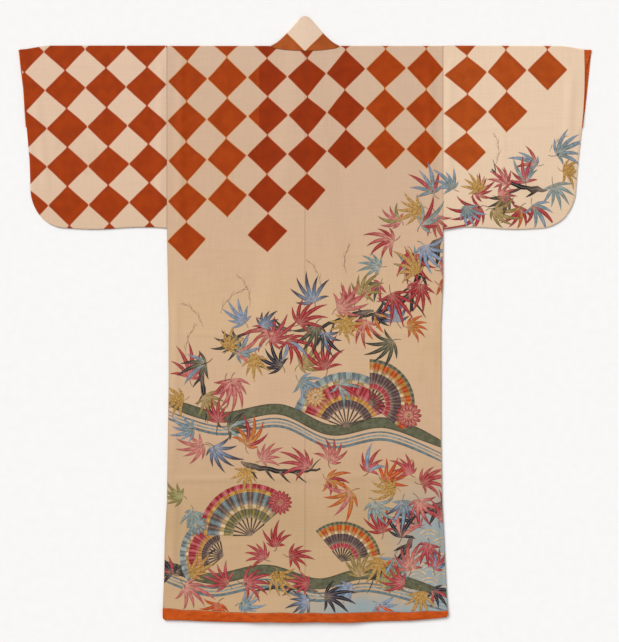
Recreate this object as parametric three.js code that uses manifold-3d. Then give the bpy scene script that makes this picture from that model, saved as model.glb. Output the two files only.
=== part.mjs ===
// Kosode laid out flat, back uppermost and sleeves spread, in millimetres.
// The wearer's left is at -X, the collar points to +Y, and +Z is up, off the surface it lies on.
// The origin is the middle of the garment's outline, on that surface.
// Three levels of cloth lie on each other: the left front at the bottom, the right front over it,
// and the back on top. The collar band stands up past the shoulder line and folds down both fronts.
import * as THREE from "three";
import { mergeVertices } from "three/addons/utils/BufferGeometryUtils.js";
import Module from "manifold-3d";

// Cloth
const CLOTH = 1.5; // lined silk, one wall
const COLLAR_CLOTH = 2.4; // the band is folded double
const HEM_ROLL = 3.2; // the lining rolled round a little wadding
const CUFF_CLOTH = 1.2;
const SEAM_GAP = 0.3; // between two pieces sewn edge to edge
const LAY_GAP = 0.8; // between two cloths lying on each other

// Outline
const REACH = 663.5; // from the middle to each sleeve's end
const TOP_Y = 702; // the collar's tip, and the hem is as far below the middle
const SHOULDER_Y = 634.5;
const ARMHOLE_X = 320;
const SLEEVE_LOW_Y = 212;
const SLEEVE_WAVE = { height: 2.6, length: 36 }; // the lower edge hangs a little unevenly
const SLEEVE_DROP = { from: 590, by: 9 }; // how the shoulder line falls towards the sleeve's end

// Neck and collar
const NECK_HALF = 68; // where the collar's fold would meet the shoulder line
const NECK_DIP = 12.5; // the back neckline's depth at the middle
const NECK_FOOT_DIP = 4.5; // and beside the collar's foot
const FOOT_FLARE = 12; // the collar's foot spreads this much more at the shoulder line
const FOOT_HEIGHT = 8;
const FOOT_GAP = 0.8; // between the collar's foot and the shoulder fold beside it
const COLLAR_WIDTH = 70; // on the fronts
const COLLAR_LEAN = THREE.MathUtils.degToRad(7.3); // of the front collar, towards the other side
const COLLAR_END_Y = -130;
const COLLAR_END_DROP = 6; // the band's end slants by this much
const OVERLAP_SEAM_X = 50; // between a front and its overlap panel
const OVERLAP_TIP = 1.2; // width of the overlap panel's pointed top
const FOLD_ANGLE = Math.PI / 4 + COLLAR_LEAN / 2; // a straight band folded here then leans by that
const LEAN = Math.tan(COLLAR_LEAN);
const TIP_HALF = NECK_HALF - (TOP_Y - SHOULDER_Y) / Math.tan(FOLD_ANGLE);
const FREE_EDGE_X = -TIP_HALF + (TOP_Y - COLLAR_END_Y) * LEAN;
const NECK_X = NECK_HALF + FOOT_FLARE;

// How a cloth steps down off the free edge of the one below it
const EDGE_CLEAR = 3;
const STEP_RUN = 50;

// Half widths of the body on the wearer's left and right, from the sleeve down to the hem
const SIDES = [
  { y: 212, left: 320, right: 320 },
  { y: 90, left: 318, right: 320 },
  { y: -10, left: 316, right: 315 },
  { y: -140, left: 316, right: 315 },
  { y: -280, left: 318, right: 315.5 },
  { y: -420, left: 320, right: 318 },
  { y: -510, left: 325, right: 322.5 },
  { y: -605, left: 327, right: 327 },
  { y: -675, left: 329.5, right: 331 },
];

// The rolled hem's upper and lower edges, which sag a little in the middle
const HEM_LINE = [
  { x: -335, top: -669, low: -696 },
  { x: -240, top: -675, low: -699.5 },
  { x: -120, top: -679, low: -702 },
  { x: 0, top: -680, low: -702 },
  { x: 120, top: -679.5, low: -702 },
  { x: 240, top: -677.5, low: -698 },
  { x: 335, top: -674, low: -690 },
];
const HEM_HALF = { left: 329.8, right: 331.2 };
const HEM_ZONE_Y = -672; // below this the cloths lie over the full thickness of the hem rolls
const HEM_EASE = 45; // and above it they close up over this distance
const HEM_FOLLOW_Y = -520; // rows below this follow the hem's own line more and more

// The sleeves' outer edges: half widths at each height, down to where the corner's curve begins
const CUFF_EDGE = [
  { y: 625.5, left: 660.5, right: 647 },
  { y: 580, left: 656, right: 648 },
  { y: 532, left: 650.5, right: 647.5 },
  { y: 486, left: 648, right: 645 },
  { y: 446, left: 645, right: 641.5 },
  { y: 370, left: 638, right: 633.5 },
  { y: 304, left: 636, right: 628 },
];
const WRIST_LOW_Y = 446; // the wrist opening runs from here up to the shoulder line
const CORNERS = { left: { x: 555, across: 81 }, right: { x: 541, across: 87 } };

// How far the lining stands out past the lower layer's edge along the wrist opening
const CUFF_SHOWS = [
  { y: 625.5, left: 3, right: 16.5 },
  { y: 580, left: 3, right: 11 },
  { y: 532, left: 2.6, right: 6.5 },
  { y: 486, left: 2.2, right: 4 },
  { y: 446, left: 1.6, right: 2 },
];
const CUFF_BACK_SHOWS = 2; // and past the upper layer's

// Soft folds of the upper cloth: a ridge from one end to the other, with its half width and rise
const FOLDS = [
  { x1: -333, y1: 600, x2: -335, y2: 262, half: 15, rise: 2.0 },
  { x1: -287, y1: 612, x2: -290, y2: 236, half: 15, rise: 2.6 },
  { x1: 288, y1: 604, x2: 292, y2: 262, half: 16, rise: 2.4 },
  { x1: 336, y1: 590, x2: 334, y2: 330, half: 14, rise: 1.6 },
  { x1: 616, y1: 560, x2: 604, y2: 300, half: 17, rise: 2.2 },
  { x1: -624, y1: 520, x2: -598, y2: 300, half: 16, rise: 1.6 },
  { x1: -296, y1: 60, x2: -303, y2: -330, half: 13, rise: 1.6 },
  { x1: -300, y1: -400, x2: -309, y2: -640, half: 14, rise: 2.2 },
  { x1: 300, y1: -395, x2: 309, y2: -630, half: 13, rise: 1.8 },
  { x1: -312, y1: -372, x2: 20, y2: -368, half: 13, rise: 1.3 },
  { x1: 60, y1: -362, x2: 312, y2: -366, half: 13, rise: 1.4 },
];
const SWELL = 1.1; // each panel's slight fullness between its seams

// Where the body's surfaces have their points: half widths across, heights along
const BACK_NECK_COLUMNS = [SEAM_GAP / 2, 20, 42, 64, NECK_X - 1];
const BODY_COLUMNS = [NECK_X + FOOT_GAP / 2, 98, 120, 150, 195, 240];
const SIDE_COLUMNS = [52, 39, 26, 12, 0]; // distances in from the side edge
const BACK_ROWS = [
  -672, -655, -635, -600, -520, -440, -400, -385, -370, -355, -340, -280, -200, -120, -40, 50,
  140, 230, 320, 410, 500, 565, 600,
];
const FRONT_ROWS = [
  612, 590, 565, 540, 479, 400, 280, 140, 0, -130, -260, -390, -520, -600, -635, -655, -672,
];
const NECK_SEAM_ROWS = [612, 590, 565, 540]; // the collar's seam on the front curves here
const TURN_STEPS = 4; // facets round a folded edge

const wasm = await Module();
wasm.setup();

const { clamp, lerp } = THREE.MathUtils;
const SIDE_NAMES = { [-1]: "left", 1: "right" };

function smooth(from, to, value) {
  const t = clamp((value - from) / (to - from), 0, 1);
  return t * t * (3 - 2 * t);
}

// Reads a column of a table at a place between its rows. The key is the column of places.
function readTable(table, key, place, column) {
  const rising = table[0][key] < table[1][key];
  const past = table.findIndex((row) => (rising ? row[key] > place : row[key] < place));
  const next = clamp(past < 0 ? table.length - 1 : past, 1, table.length - 1);
  const [a, b] = [table[next - 1], table[next]];
  return lerp(a[column], b[column], clamp((place - a[key]) / (b[key] - a[key]), 0, 1));
}

const bodyHalf = (side, y) => readTable(SIDES, "y", y, SIDE_NAMES[side]);
const hemTop = (x) => readTable(HEM_LINE, "x", x, "top");
const hemLow = (x) => readTable(HEM_LINE, "x", x, "low");
const rowY = (x, y) => y + (hemTop(x) - HEM_ZONE_Y) * smooth(HEM_FOLLOW_Y, HEM_ZONE_Y, y);
const neckY = (x) => SHOULDER_Y - lerp(NECK_DIP, NECK_FOOT_DIP, (x / NECK_X) ** 2);

// The left front's free edge, and the seam between it and its collar, at a height
const freeX = (y) => -TIP_HALF + (TOP_Y - Math.max(y, COLLAR_END_Y)) * LEAN;
const collarWidth = (y) => lerp(COLLAR_WIDTH, NECK_X, smooth(540, SHOULDER_Y, y));
const collarSeamX = (y) => freeX(y) - collarWidth(y);

// Room that the left front takes up under what lies on it: cloth, collar and rolled hem.
// Mirrored, it is the right front's.
function frontRoom(x, y) {
  const lies = 1 - smooth(EDGE_CLEAR, EDGE_CLEAR + STEP_RUN, x - freeX(y));
  const collarSide = smooth(-STEP_RUN - EDGE_CLEAR, -EDGE_CLEAR, x - collarSeamX(y));
  const collarLow = COLLAR_END_Y - COLLAR_END_DROP - EDGE_CLEAR;
  const onCollar = collarSide * smooth(collarLow - STEP_RUN, collarLow, y);
  const onHem = smooth(HEM_ZONE_Y + HEM_EASE, HEM_ZONE_Y, y);
  const thick = CLOTH + (COLLAR_CLOTH - CLOTH) * onCollar + (HEM_ROLL - CLOTH) * onHem;
  return lies * (thick + LAY_GAP);
}

// One soft fold's height over a place
function foldHeight(fold, x, y) {
  const [dx, dy] = [fold.x2 - fold.x1, fold.y2 - fold.y1];
  const length = Math.hypot(dx, dy);
  const along = ((x - fold.x1) * dx + (y - fold.y1) * dy) / length;
  const across = Math.abs((x - fold.x1) * dy - (y - fold.y1) * dx) / length;
  const taper = 2.2 * fold.half;
  const ends = smooth(-taper, taper, along) * smooth(length + taper, length - taper, along);
  return fold.rise * ends * smooth(fold.half, 0, across);
}

// The upper cloth's fullness and folds, which die out at the shoulder line, the ends and the hem
function puff(x, y) {
  const inSleeve = Math.abs(x) > ARMHOLE_X;
  const across = inSleeve ? (Math.abs(x) - ARMHOLE_X) / (REACH - ARMHOLE_X) : Math.abs(x) / ARMHOLE_X;
  const full = SWELL * Math.sin(Math.PI * clamp(across, 0, 1));
  const low = inSleeve ? SLEEVE_LOW_Y : HEM_ZONE_Y + 20;
  const ends = smooth(SHOULDER_Y - 3, SHOULDER_Y - 50, y) * smooth(low + 2, low + 60, y);
  return ends * (full + FOLDS.reduce((sum, fold) => sum + foldHeight(fold, x, y), 0));
}

// Undersides of the three levels of cloth
const frontZ = (side) => (side < 0 ? () => 0 : frontRoom);
const backZ = (x, y) => frontRoom(x, y) + frontRoom(-x, y) + puff(x, y);

// A closed body from a surface given as grids of points that meet point on point: the surface is
// moved out and in along its normals by half the thickness, and its free edges are joined.
function thicken(grids, thickness) {
  const points = grids.flatMap((rows) => rows.flat());
  const index = [];
  let first = 0;
  for (const rows of grids) {
    const wide = rows[0].length;
    for (let i = 0; i < rows.length - 1; i++)
      for (let j = 0; j < wide - 1; j++) {
        const a = first + i * wide + j;
        index.push(a, a + 1, a + wide + 1, a, a + wide + 1, a + wide);
      }
    first += rows.length * wide;
  }
  const middle = mergeVertices(new THREE.BufferGeometry().setFromPoints(points).setIndex(index), 1e-3);
  middle.computeVertexNormals();
  const { position, normal } = middle.attributes;
  const moved = [];
  for (const by of [thickness / 2, -thickness / 2])
    for (let k = 0; k < position.count; k++) {
      const point = new THREE.Vector3().fromBufferAttribute(position, k);
      moved.push(point.addScaledVector(new THREE.Vector3().fromBufferAttribute(normal, k), by));
    }
  const faces = [];
  const edges = new Set();
  const inner = position.count; // a point's number on the inner side is this much higher
  for (let k = 0; k < middle.index.count; k += 3) {
    const [a, b, c] = [0, 1, 2].map((n) => middle.index.getX(k + n));
    if (a === b || b === c || c === a) continue;
    faces.push(a, b, c, a + inner, c + inner, b + inner);
    edges.add(`${a} ${b}`).add(`${b} ${c}`).add(`${c} ${a}`);
  }
  for (const edge of edges) {
    const [from, to] = edge.split(" ").map(Number);
    if (edges.has(`${to} ${from}`)) continue;
    faces.push(to, from, from + inner, to, from + inner, to + inner);
  }
  return new THREE.BufferGeometry().setFromPoints(moved).setIndex(faces);
}

// A closed body between a lower and an upper height at each point of a grid seen from above.
// Its rows run up the garment, and its points along a row run away from the middle.
function slab(side, grid) {
  const rows = side < 0 ? grid.map((row) => row.toReversed()) : grid;
  const [long, wide] = [rows.length, rows[0].length];
  const points = ["high", "low"].flatMap((level) =>
    rows.flatMap((row) => row.map((p) => new THREE.Vector3(p.x, p.y, p[level]))),
  );
  const under = long * wide; // a point's number on the lower side is this much higher
  const faces = [];
  for (let i = 0; i < long - 1; i++)
    for (let j = 0; j < wide - 1; j++) {
      const a = i * wide + j;
      const [b, c, d] = [a + 1, a + wide + 1, a + wide];
      faces.push(a, b, c, a, c, d, a + under, c + under, b + under, a + under, d + under, c + under);
    }
  const rim = (from, to) => faces.push(to, from, from + under, to, from + under, to + under);
  for (let j = 0; j < wide - 1; j++) {
    rim(j, j + 1);
    rim(under - 1 - j, under - 2 - j);
  }
  for (let i = 0; i < long - 1; i++) {
    rim((i + 1) * wide, i * wide);
    rim((i + 1) * wide - 1, (i + 2) * wide - 1);
  }
  return mergeVertices(new THREE.BufferGeometry().setFromPoints(points).setIndex(faces), 1e-3);
}

// A half circle of points from an upper to a lower level, whose outermost point lies on the edge
function turned(edge, outward, high, low) {
  const radius = (high - low) / 2;
  return Array.from({ length: TURN_STEPS + 1 }, (_, k) => (Math.PI * k) / TURN_STEPS).map((angle) => {
    const inward = radius * (1 - Math.sin(angle));
    const z = (high + low) / 2 + radius * Math.cos(angle);
    return new THREE.Vector3(edge.x - outward.x * inward, edge.y - outward.y * inward, z);
  });
}

// Turns a list of arcs, one at each column, into rows of points, one at each step of the turn
const rowsOf = (arcs) => arcs[0].map((_, k) => arcs.map((arc) => arc[k]));

// One half of the body: a single length of cloth from the back hem, over the shoulder, to the
// front hem. The neck is cut out of its inner edge.
function bodyStrip(side) {
  const half = CLOTH / 2;
  const [inner, , eased] = BODY_COLUMNS; // the front's inner edge moves the columns inside the third
  const columns = (y) => [...BODY_COLUMNS, ...SIDE_COLUMNS.map((d) => bodyHalf(side, y) - d)];
  const onBack = (x, y) => new THREE.Vector3(side * x, y, backZ(side * x, y) + half);
  const back = BACK_ROWS.map((y) => columns(y).map((x) => onBack(x, rowY(side * x, y))));
  const arcs = columns(SHOULDER_Y).map((x) => {
    const edge = { x: side * x, y: SHOULDER_Y - half };
    const high = backZ(edge.x, SHOULDER_Y) + half;
    return turned(edge, { x: 0, y: 1 }, high, frontZ(side)(edge.x, SHOULDER_Y) + half);
  });
  const turn = rowsOf(arcs);
  const front = FRONT_ROWS.map((y) => {
    const seam = Math.max(-collarSeamX(y), OVERLAP_SEAM_X) + SEAM_GAP;
    return columns(y).map((at) => {
      const x = side * (at < eased ? eased - ((eased - at) * (eased - seam)) / (eased - inner) : at);
      return new THREE.Vector3(x, rowY(x, y), frontZ(side)(x, y) + half);
    });
  });
  const neckPanel = BACK_ROWS.map((y, i) => [
    ...BACK_NECK_COLUMNS.map((x) => onBack(x, rowY(side * x, y))),
    back[i][0],
  ]);
  neckPanel.push([...BACK_NECK_COLUMNS.map((x) => onBack(x, neckY(x) - SEAM_GAP / 2)), turn[0][0]]);
  const grids = [[...back, ...turn, ...front], neckPanel];
  return thicken(side < 0 ? grids.map((rows) => rows.map((row) => row.toReversed())) : grids, CLOTH);
}

// The overlap panel of one front: straight down its free edge, and cut to a long point above
function overlapPanel(side) {
  const across = [0, 0.14, 0.3, 0.46, 0.62, 0.78, 0.9, 1];
  const row = (y, inner) =>
    across.map((t) => {
      const x = side * lerp(OVERLAP_SEAM_X, inner, t);
      return new THREE.Vector3(x, rowY(x, y), frontZ(side)(x, y) + CLOTH / 2);
    });
  const tipY = TOP_Y - (COLLAR_WIDTH + TIP_HALF - OVERLAP_SEAM_X + OVERLAP_TIP) / LEAN;
  const shoulder = COLLAR_END_Y - SEAM_GAP;
  const above = [0, 0.25, 0.5, 0.75, 1].map((t) => lerp(shoulder, tipY, t));
  const rows = [
    ...[-672, -655, -635, -600, -500, -400, -300, -200].map((y) => row(y, -FREE_EDGE_X)),
    row(shoulder - COLLAR_END_DROP, -FREE_EDGE_X),
    ...above.map((y) => row(y, -collarSeamX(y) + SEAM_GAP)),
  ];
  return thicken([side < 0 ? rows : rows.map((points) => points.toReversed())], CLOTH);
}

// The collar: one straight band, sewn along the back neckline and down both fronts. It stands up
// past the shoulder line at the back and folds over at a slant on each side.
function collarBand() {
  const across = [0, 0.2, 0.4, 0.6, 0.8, 1]; // from the seam to the free edge
  const half = COLLAR_CLOTH / 2;
  // The slanting folded edge, which is the collar's outline seen from the back
  const foldPoint = (side, t) => {
    const rise = t * (TOP_Y - SHOULDER_Y);
    const flare = FOOT_FLARE * Math.exp(-rise / FOOT_HEIGHT) - (t === 0 ? FOOT_GAP / 2 : 0);
    return { x: side * (NECK_HALF - rise / Math.tan(FOLD_ANGLE) + flare), y: SHOULDER_Y + rise };
  };
  const standing = (share) =>
    across.map((t) => {
      const x = foldPoint(Math.sign(share) || 1, t).x * Math.abs(share);
      const y = lerp(neckY(x) + SEAM_GAP / 2, TOP_Y, t);
      return new THREE.Vector3(x, y, backZ(x, y) + half);
    });
  // The seam's end turns over the shoulder line, and the rest over the slanting fold
  const turn = (side) =>
    rowsOf(
      across.map((t) => {
        const tilt = FOLD_ANGLE * smooth(0, 0.2, t);
        const outward = { x: side * Math.sin(tilt), y: Math.cos(tilt) };
        const { x, y } = foldPoint(side, t);
        const edge = { x: x - outward.x * half, y: y - outward.y * half };
        return turned(edge, outward, backZ(x, y) + half, frontZ(side)(x, y) + half);
      }),
    );
  // Heights of the seam, and of the free edge straight across the band from it
  const fallRows = [
    ...NECK_SEAM_ROWS.map((seam) => ({ seam, free: lerp(seam, TOP_Y, smooth(400, 700, seam)) })),
    ...[479, 400, 300, 200, 100, 0, -70].map((seam) => ({ seam, free: seam - COLLAR_WIDTH * LEAN })),
    { seam: COLLAR_END_Y, free: COLLAR_END_Y - COLLAR_END_DROP },
  ];
  const hanging = (side) =>
    fallRows.map(({ seam, free }) =>
      across.map((t) => {
        const y = lerp(seam, free, t);
        const x = side * -lerp(collarSeamX(seam), freeX(free), t);
        return new THREE.Vector3(x, y, frontZ(side)(x, y) + half);
      }),
    );
  const rows = [
    ...hanging(-1).reverse(),
    ...turn(-1).reverse(),
    ...[-0.85, -0.6, -0.3, 0, 0.3, 0.6, 0.85].map(standing),
    ...turn(1),
    ...hanging(1),
  ];
  return thicken([rows.reverse()], COLLAR_CLOTH);
}

// A closed geometry as a solid that can be cut, and back again
function asSolid(geometry) {
  const vertProperties = geometry.attributes.position.array;
  const triVerts = new Uint32Array(geometry.index.array);
  return new wasm.Manifold(new wasm.Mesh({ numProp: 3, vertProperties, triVerts }));
}

function asGeometry(solid) {
  const { vertProperties, triVerts } = solid.getMesh();
  return new THREE.BufferGeometry()
    .setAttribute("position", new THREE.BufferAttribute(vertProperties, 3))
    .setIndex(new THREE.BufferAttribute(triVerts, 1));
}

const sleeveTopY = (x) => SHOULDER_Y - SLEEVE_DROP.by * smooth(SLEEVE_DROP.from, REACH, x);
function sleeveLowY(x) {
  return SLEEVE_LOW_Y + SLEEVE_WAVE.height * Math.sin((x - ARMHOLE_X) / SLEEVE_WAVE.length);
}

// A sleeve seen from above: u runs from the armhole to the cuff, v from the lower edge to the
// shoulder line. The lower corner is a quarter ellipse, half of it on each of its two edges.
const CORNER_U = 0.72;
const CORNER_V = 0.2;
const CORNER_TOP_Y = CUFF_EDGE.at(-1).y;
const CUFF_TOP_Y = CUFF_EDGE[0].y;
const cuffV = (y) => lerp(CORNER_V, 1, (y - CORNER_TOP_Y) / (CUFF_TOP_Y - CORNER_TOP_Y));

function sleevePlan(side) {
  const corner = CORNERS[SIDE_NAMES[side]];
  const inner = ARMHOLE_X + SEAM_GAP;
  const outerX = CUFF_EDGE[0][SIDE_NAMES[side]];
  const onCorner = (share) => {
    const angle = (share * Math.PI) / 2;
    const x = corner.x + corner.across * Math.sin(angle);
    return { x, y: lerp(sleeveLowY(corner.x), CORNER_TOP_Y, 1 - Math.cos(angle)) };
  };
  const lower = (u) => {
    if (u > CORNER_U) return onCorner((0.5 * (u - CORNER_U)) / (1 - CORNER_U));
    const x = lerp(inner, corner.x, u / CORNER_U);
    return { x, y: sleeveLowY(x) };
  };
  const upper = (u) => {
    const x = lerp(inner, outerX, u);
    return { x, y: sleeveTopY(x) + u * (CUFF_TOP_Y - sleeveTopY(outerX)) };
  };
  const armhole = (v) => ({ x: inner, y: lerp(lower(0).y, upper(0).y, v) });
  const cuff = (v) => {
    if (v < CORNER_V) return onCorner(0.5 + (0.5 * v) / CORNER_V);
    const y = lerp(CORNER_TOP_Y, CUFF_TOP_Y, (v - CORNER_V) / (1 - CORNER_V));
    return { x: readTable(CUFF_EDGE, "y", y, SIDE_NAMES[side]), y };
  };
  // Between the four edges the surface is filled in as a Coons patch
  return (u, v) => {
    const mix = (key) =>
      lerp(lower(u)[key], upper(u)[key], v) +
      lerp(armhole(v)[key], cuff(v)[key], u) -
      lerp(lerp(lower(0)[key], lower(1)[key], u), lerp(upper(0)[key], upper(1)[key], u), v);
    return { x: side * mix("x"), y: mix("y") };
  };
}

// A sleeve: a flattened tube folded along the shoulder line, open at the armhole and the wrist
function sleeve(side) {
  const plan = sleevePlan(side);
  const [long, deep] = [REACH - ARMHOLE_X, SHOULDER_Y - SLEEVE_LOW_Y];
  const tall = (x, y) => 2 * CLOTH + LAY_GAP + puff(x, y);
  const radius = CLOTH + LAY_GAP / 2;
  const rounding = [0, 0.3 * radius, radius]; // distances in from an edge, where it is rounded
  const lastly = (length) => rounding.map((d) => 1 - d / length).reverse();
  const us = [0.02, 0.042, 0.064, 0.09, 0.17, 0.29, 0.42, 0.55, 0.66, 0.76, 0.84, 0.9, 0.95];
  const vs = [0.03, 0.07, 0.12, ...CUFF_EDGE.slice(1).map((row) => cuffV(row.y)).reverse(), 0.95];
  const outer = [...rounding.map((d) => d / deep), ...vs, ...lastly(deep)].map((v) =>
    [0, ...us, ...lastly(long)].map((u) => {
      const { x, y } = plan(u, v);
      const inward = Math.min(v * deep, (1 - v) * deep, (1 - u) * long, radius) / radius;
      const share = Math.sqrt(1 - (1 - inward) ** 2);
      const middle = tall(x, y) / 2;
      return { x, y, low: middle * (1 - share), high: middle * (1 + share) };
    }),
  );
  // The hollow runs out through the armhole, and through the cuff above the wrist's lower end
  const margin = 1.3 * radius;
  const wristV = cuffV(WRIST_LOW_Y);
  const past = 0.03;
  const [below, above] = [vs.filter((v) => v <= wristV), vs.filter((v) => v > wristV)];
  const hollow = [margin / deep, ...below, wristV + 0.004, ...above, 1 - margin / deep].map((v) =>
    [-past, ...us, v > wristV ? 1 + past : 1 - margin / long].map((u) => {
      const { x, y } = plan(clamp(u, 0, 1), v);
      return { x: x + side * long * (u - clamp(u, 0, 1)), y, low: CLOTH, high: tall(x, y) - CLOTH };
    }),
  );
  return asGeometry(asSolid(slab(side, outer)).subtract(asSolid(slab(side, hollow))));
}

// The lining's edge along a wrist opening: a narrow band over the shoulder fold
function cuffBand(side) {
  const name = SIDE_NAMES[side];
  const inner = (y) => readTable(CUFF_EDGE, "y", y, name) + SEAM_GAP;
  const shows = (y) => readTable(CUFF_SHOWS, "y", y, name);
  const low = CUFF_CLOTH / 2;
  const high = CLOTH + LAY_GAP + CLOTH / 2;
  const shares = [0, 0.5, 1];
  const row = (y, wide, z) =>
    shares.map((t) => new THREE.Vector3(side * (inner(y) + wide * t), y, z));
  const arcs = shares.map((t) => {
    const x = side * (inner(CUFF_TOP_Y) + shows(CUFF_TOP_Y) * t);
    return turned({ x, y: CUFF_TOP_Y - CUFF_CLOTH / 2 }, { x: 0, y: 1 }, high, low);
  });
  const heights = CUFF_SHOWS.slice(1).map(({ y }) => y);
  const rows = [
    ...heights.toReversed().map((y) => row(y, CUFF_BACK_SHOWS, high)),
    ...rowsOf(arcs),
    ...heights.map((y) => row(y, shows(y), low)),
  ];
  return thicken([side < 0 ? rows.map((points) => points.toReversed()) : rows], CUFF_CLOTH);
}

// A stretch of the rolled hem, from one x to another, lying on what is below it
function hemRoll(from, to, level) {
  const steps = [20, 50, 98, 120, 150, 195, 240, 290].flatMap((x) => [-x, x]);
  const xs = [from, ...steps.filter((x) => x > from + 4 && x < to - 4).sort((a, b) => a - b), to];
  const half = HEM_ROLL / 2;
  const profile = [
    { inward: 0, share: 0 },
    { inward: 0.35 * half, share: 0.75 },
    { inward: 1.4 * half, share: 1 },
    { inward: 4 * half, share: 1 },
  ];
  const edges = [
    ...profile.map((p) => ({ ...p, at: (x) => hemLow(x) + p.inward })),
    ...profile.map((p) => ({ ...p, at: (x) => hemTop(x) - SEAM_GAP - p.inward })).reverse(),
  ];
  return slab(
    1,
    edges.map(({ share, at }) =>
      xs.map((x) => {
        const middle = level(x, HEM_ZONE_Y) + half;
        return { x, y: at(x), low: middle - half * share, high: middle + half * share };
      }),
    ),
  );
}

// Colours of the finish, as sRGB
const OUTER_SILK = { color: 0xddbfa2, roughness: 0.78, metalness: 0 };
const RED_LINING = { color: 0xbd5219, roughness: 0.6, metalness: 0 };

const group = new THREE.Group();
function add(name, geometry, finish) {
  const mesh = new THREE.Mesh(geometry, new THREE.MeshStandardMaterial(finish));
  mesh.name = name;
  group.add(mesh);
}

for (const side of [-1, 1]) {
  const name = SIDE_NAMES[side];
  add(`body_${name}`, bodyStrip(side), OUTER_SILK);
  add(`overlap_${name}`, overlapPanel(side), OUTER_SILK);
  add(`sleeve_${name}`, sleeve(side), OUTER_SILK);
  add(`cuff_lining_${name}`, cuffBand(side), RED_LINING);
}
add("collar", collarBand(), OUTER_SILK);
add("hem_back", hemRoll(-HEM_HALF.left, HEM_HALF.right, backZ), RED_LINING);
add("hem_front_left", hemRoll(-HEM_HALF.left, FREE_EDGE_X, frontZ(-1)), RED_LINING);
add("hem_front_right", hemRoll(-FREE_EDGE_X, HEM_HALF.right, frontZ(1)), RED_LINING);

export default group;
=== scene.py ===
# %% [markdown]
# # A silk kosode laid flat with its back up
#
# A kosode is a straight-cut robe sewn from one narrow bolt of silk. Here it lies spread on a pale
# floor, seen from straight above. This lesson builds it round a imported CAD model: every cloth is
# made as a flat grid, as a maker would cut it, and each of its points is then carried to its place
# on the folded robe. Lengths are in millimetres until a point is placed, because cloth is measured
# that way, and Blender gets metres.

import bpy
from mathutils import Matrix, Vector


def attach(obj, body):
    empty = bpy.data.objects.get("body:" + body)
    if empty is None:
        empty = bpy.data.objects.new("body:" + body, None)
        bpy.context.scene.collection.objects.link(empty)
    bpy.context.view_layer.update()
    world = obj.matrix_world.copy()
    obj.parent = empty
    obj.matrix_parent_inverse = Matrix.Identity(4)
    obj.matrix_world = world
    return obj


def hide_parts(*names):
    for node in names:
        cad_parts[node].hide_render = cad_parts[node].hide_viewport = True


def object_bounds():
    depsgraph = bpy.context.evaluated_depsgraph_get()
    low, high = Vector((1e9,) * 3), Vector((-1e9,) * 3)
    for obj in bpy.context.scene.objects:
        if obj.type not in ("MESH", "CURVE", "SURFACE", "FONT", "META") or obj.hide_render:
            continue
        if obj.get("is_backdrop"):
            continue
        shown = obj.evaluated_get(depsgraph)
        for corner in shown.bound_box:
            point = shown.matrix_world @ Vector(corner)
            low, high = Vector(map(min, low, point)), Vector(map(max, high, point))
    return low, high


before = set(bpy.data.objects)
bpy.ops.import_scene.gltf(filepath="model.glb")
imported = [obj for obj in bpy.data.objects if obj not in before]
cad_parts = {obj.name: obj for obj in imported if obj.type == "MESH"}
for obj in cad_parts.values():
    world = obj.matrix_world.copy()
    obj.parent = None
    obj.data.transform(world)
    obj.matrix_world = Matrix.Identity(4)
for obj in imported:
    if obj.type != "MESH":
        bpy.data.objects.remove(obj)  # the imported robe, which every piece here is made around
cad_low, cad_high = (list(corner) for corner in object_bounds())
print("CAD box, m:", [round(v, 3) for v in cad_low], [round(v, 3) for v in cad_high])

# %% Tools that the whole lesson needs
import math
import random
from functools import partial

import bmesh
import bpy
from mathutils import Vector
from mathutils.bvhtree import BVHTree

MM = 0.001  # metres in a millimetre
SIDES = {"left": -1, "right": 1}  # the wearer's sides, and where they lie on X


def lerp(start, end, share):
    """The value that lies this share of the way from start to end."""
    return start + (end - start) * share


def smooth(start, end, value):
    """0 at start, 1 at end, with a soft S curve between them. It also works downwards."""
    t = min(max((value - start) / (end - start), 0), 1)
    return t * t * (3 - 2 * t)


def read(table, place):
    """Reads a list of (place, value) pairs, lowest place first, between its rows."""
    for (a, low), (b, high) in zip(table, table[1:]):
        if place <= b:
            return lerp(low, high, min(max((place - a) / (b - a), 0), 1))
    return table[-1][1]


def steps(start, end, size):
    """Evenly spaced values from start to end, about size apart."""
    count = max(1, round(abs(end - start) / size))
    return [lerp(start, end, i / count) for i in range(count + 1)]


def put_in_scene(name, data):
    thing = bpy.data.objects.new(name, data)
    bpy.context.scene.collection.objects.link(thing)
    return thing


# %% [markdown]
# ## The shape of a robe that lies flat
#
# Three levels of cloth lie on each other: the left front is lowest, the right front laps over it,
# and the back covers both. A step shows through wherever a cloth below ends, and the doubled
# collar band makes the highest one. These steps could be left to a cloth simulation, but the robe
# is so large and flat that the simulation would mostly add noise, so each height is a formula.

# %% Sizes of the robe
CLOTH = 1.5  # thickness of a wall of lined silk
COLLAR_CLOTH = 2.4
HEM_ROLL = 3.2
SEAM_GAP = 0.3  # air left at a sewn edge
LAY_GAP = 0.8  # air left between cloths that lie on each other
SILK = 1.0  # what is drawn of each wall, which leaves air between the levels
COLLAR_LIFT = 0.45  # the doubled collar's middle lies this much above single cloth's

REACH = 663.5
TOP_Y = 702
SHOULDER_Y = 634.5
ARMHOLE_X = 320
SLEEVE_LOW_Y = 212
HEM_Y = -672
NECK_HALF = 68
NECK_X = 80
OVERLAP_X = 50
COLLAR_WIDTH = 70
COLLAR_LEAN = math.radians(7.3)
COLLAR_END_Y = -130
FOLD_ANGLE = math.pi / 4 + COLLAR_LEAN / 2
LEAN = math.tan(COLLAR_LEAN)
TIP_HALF = NECK_HALF - (TOP_Y - SHOULDER_Y) / math.tan(FOLD_ANGLE)
FREE_EDGE_X = -TIP_HALF + (TOP_Y - COLLAR_END_Y) * LEAN

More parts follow.
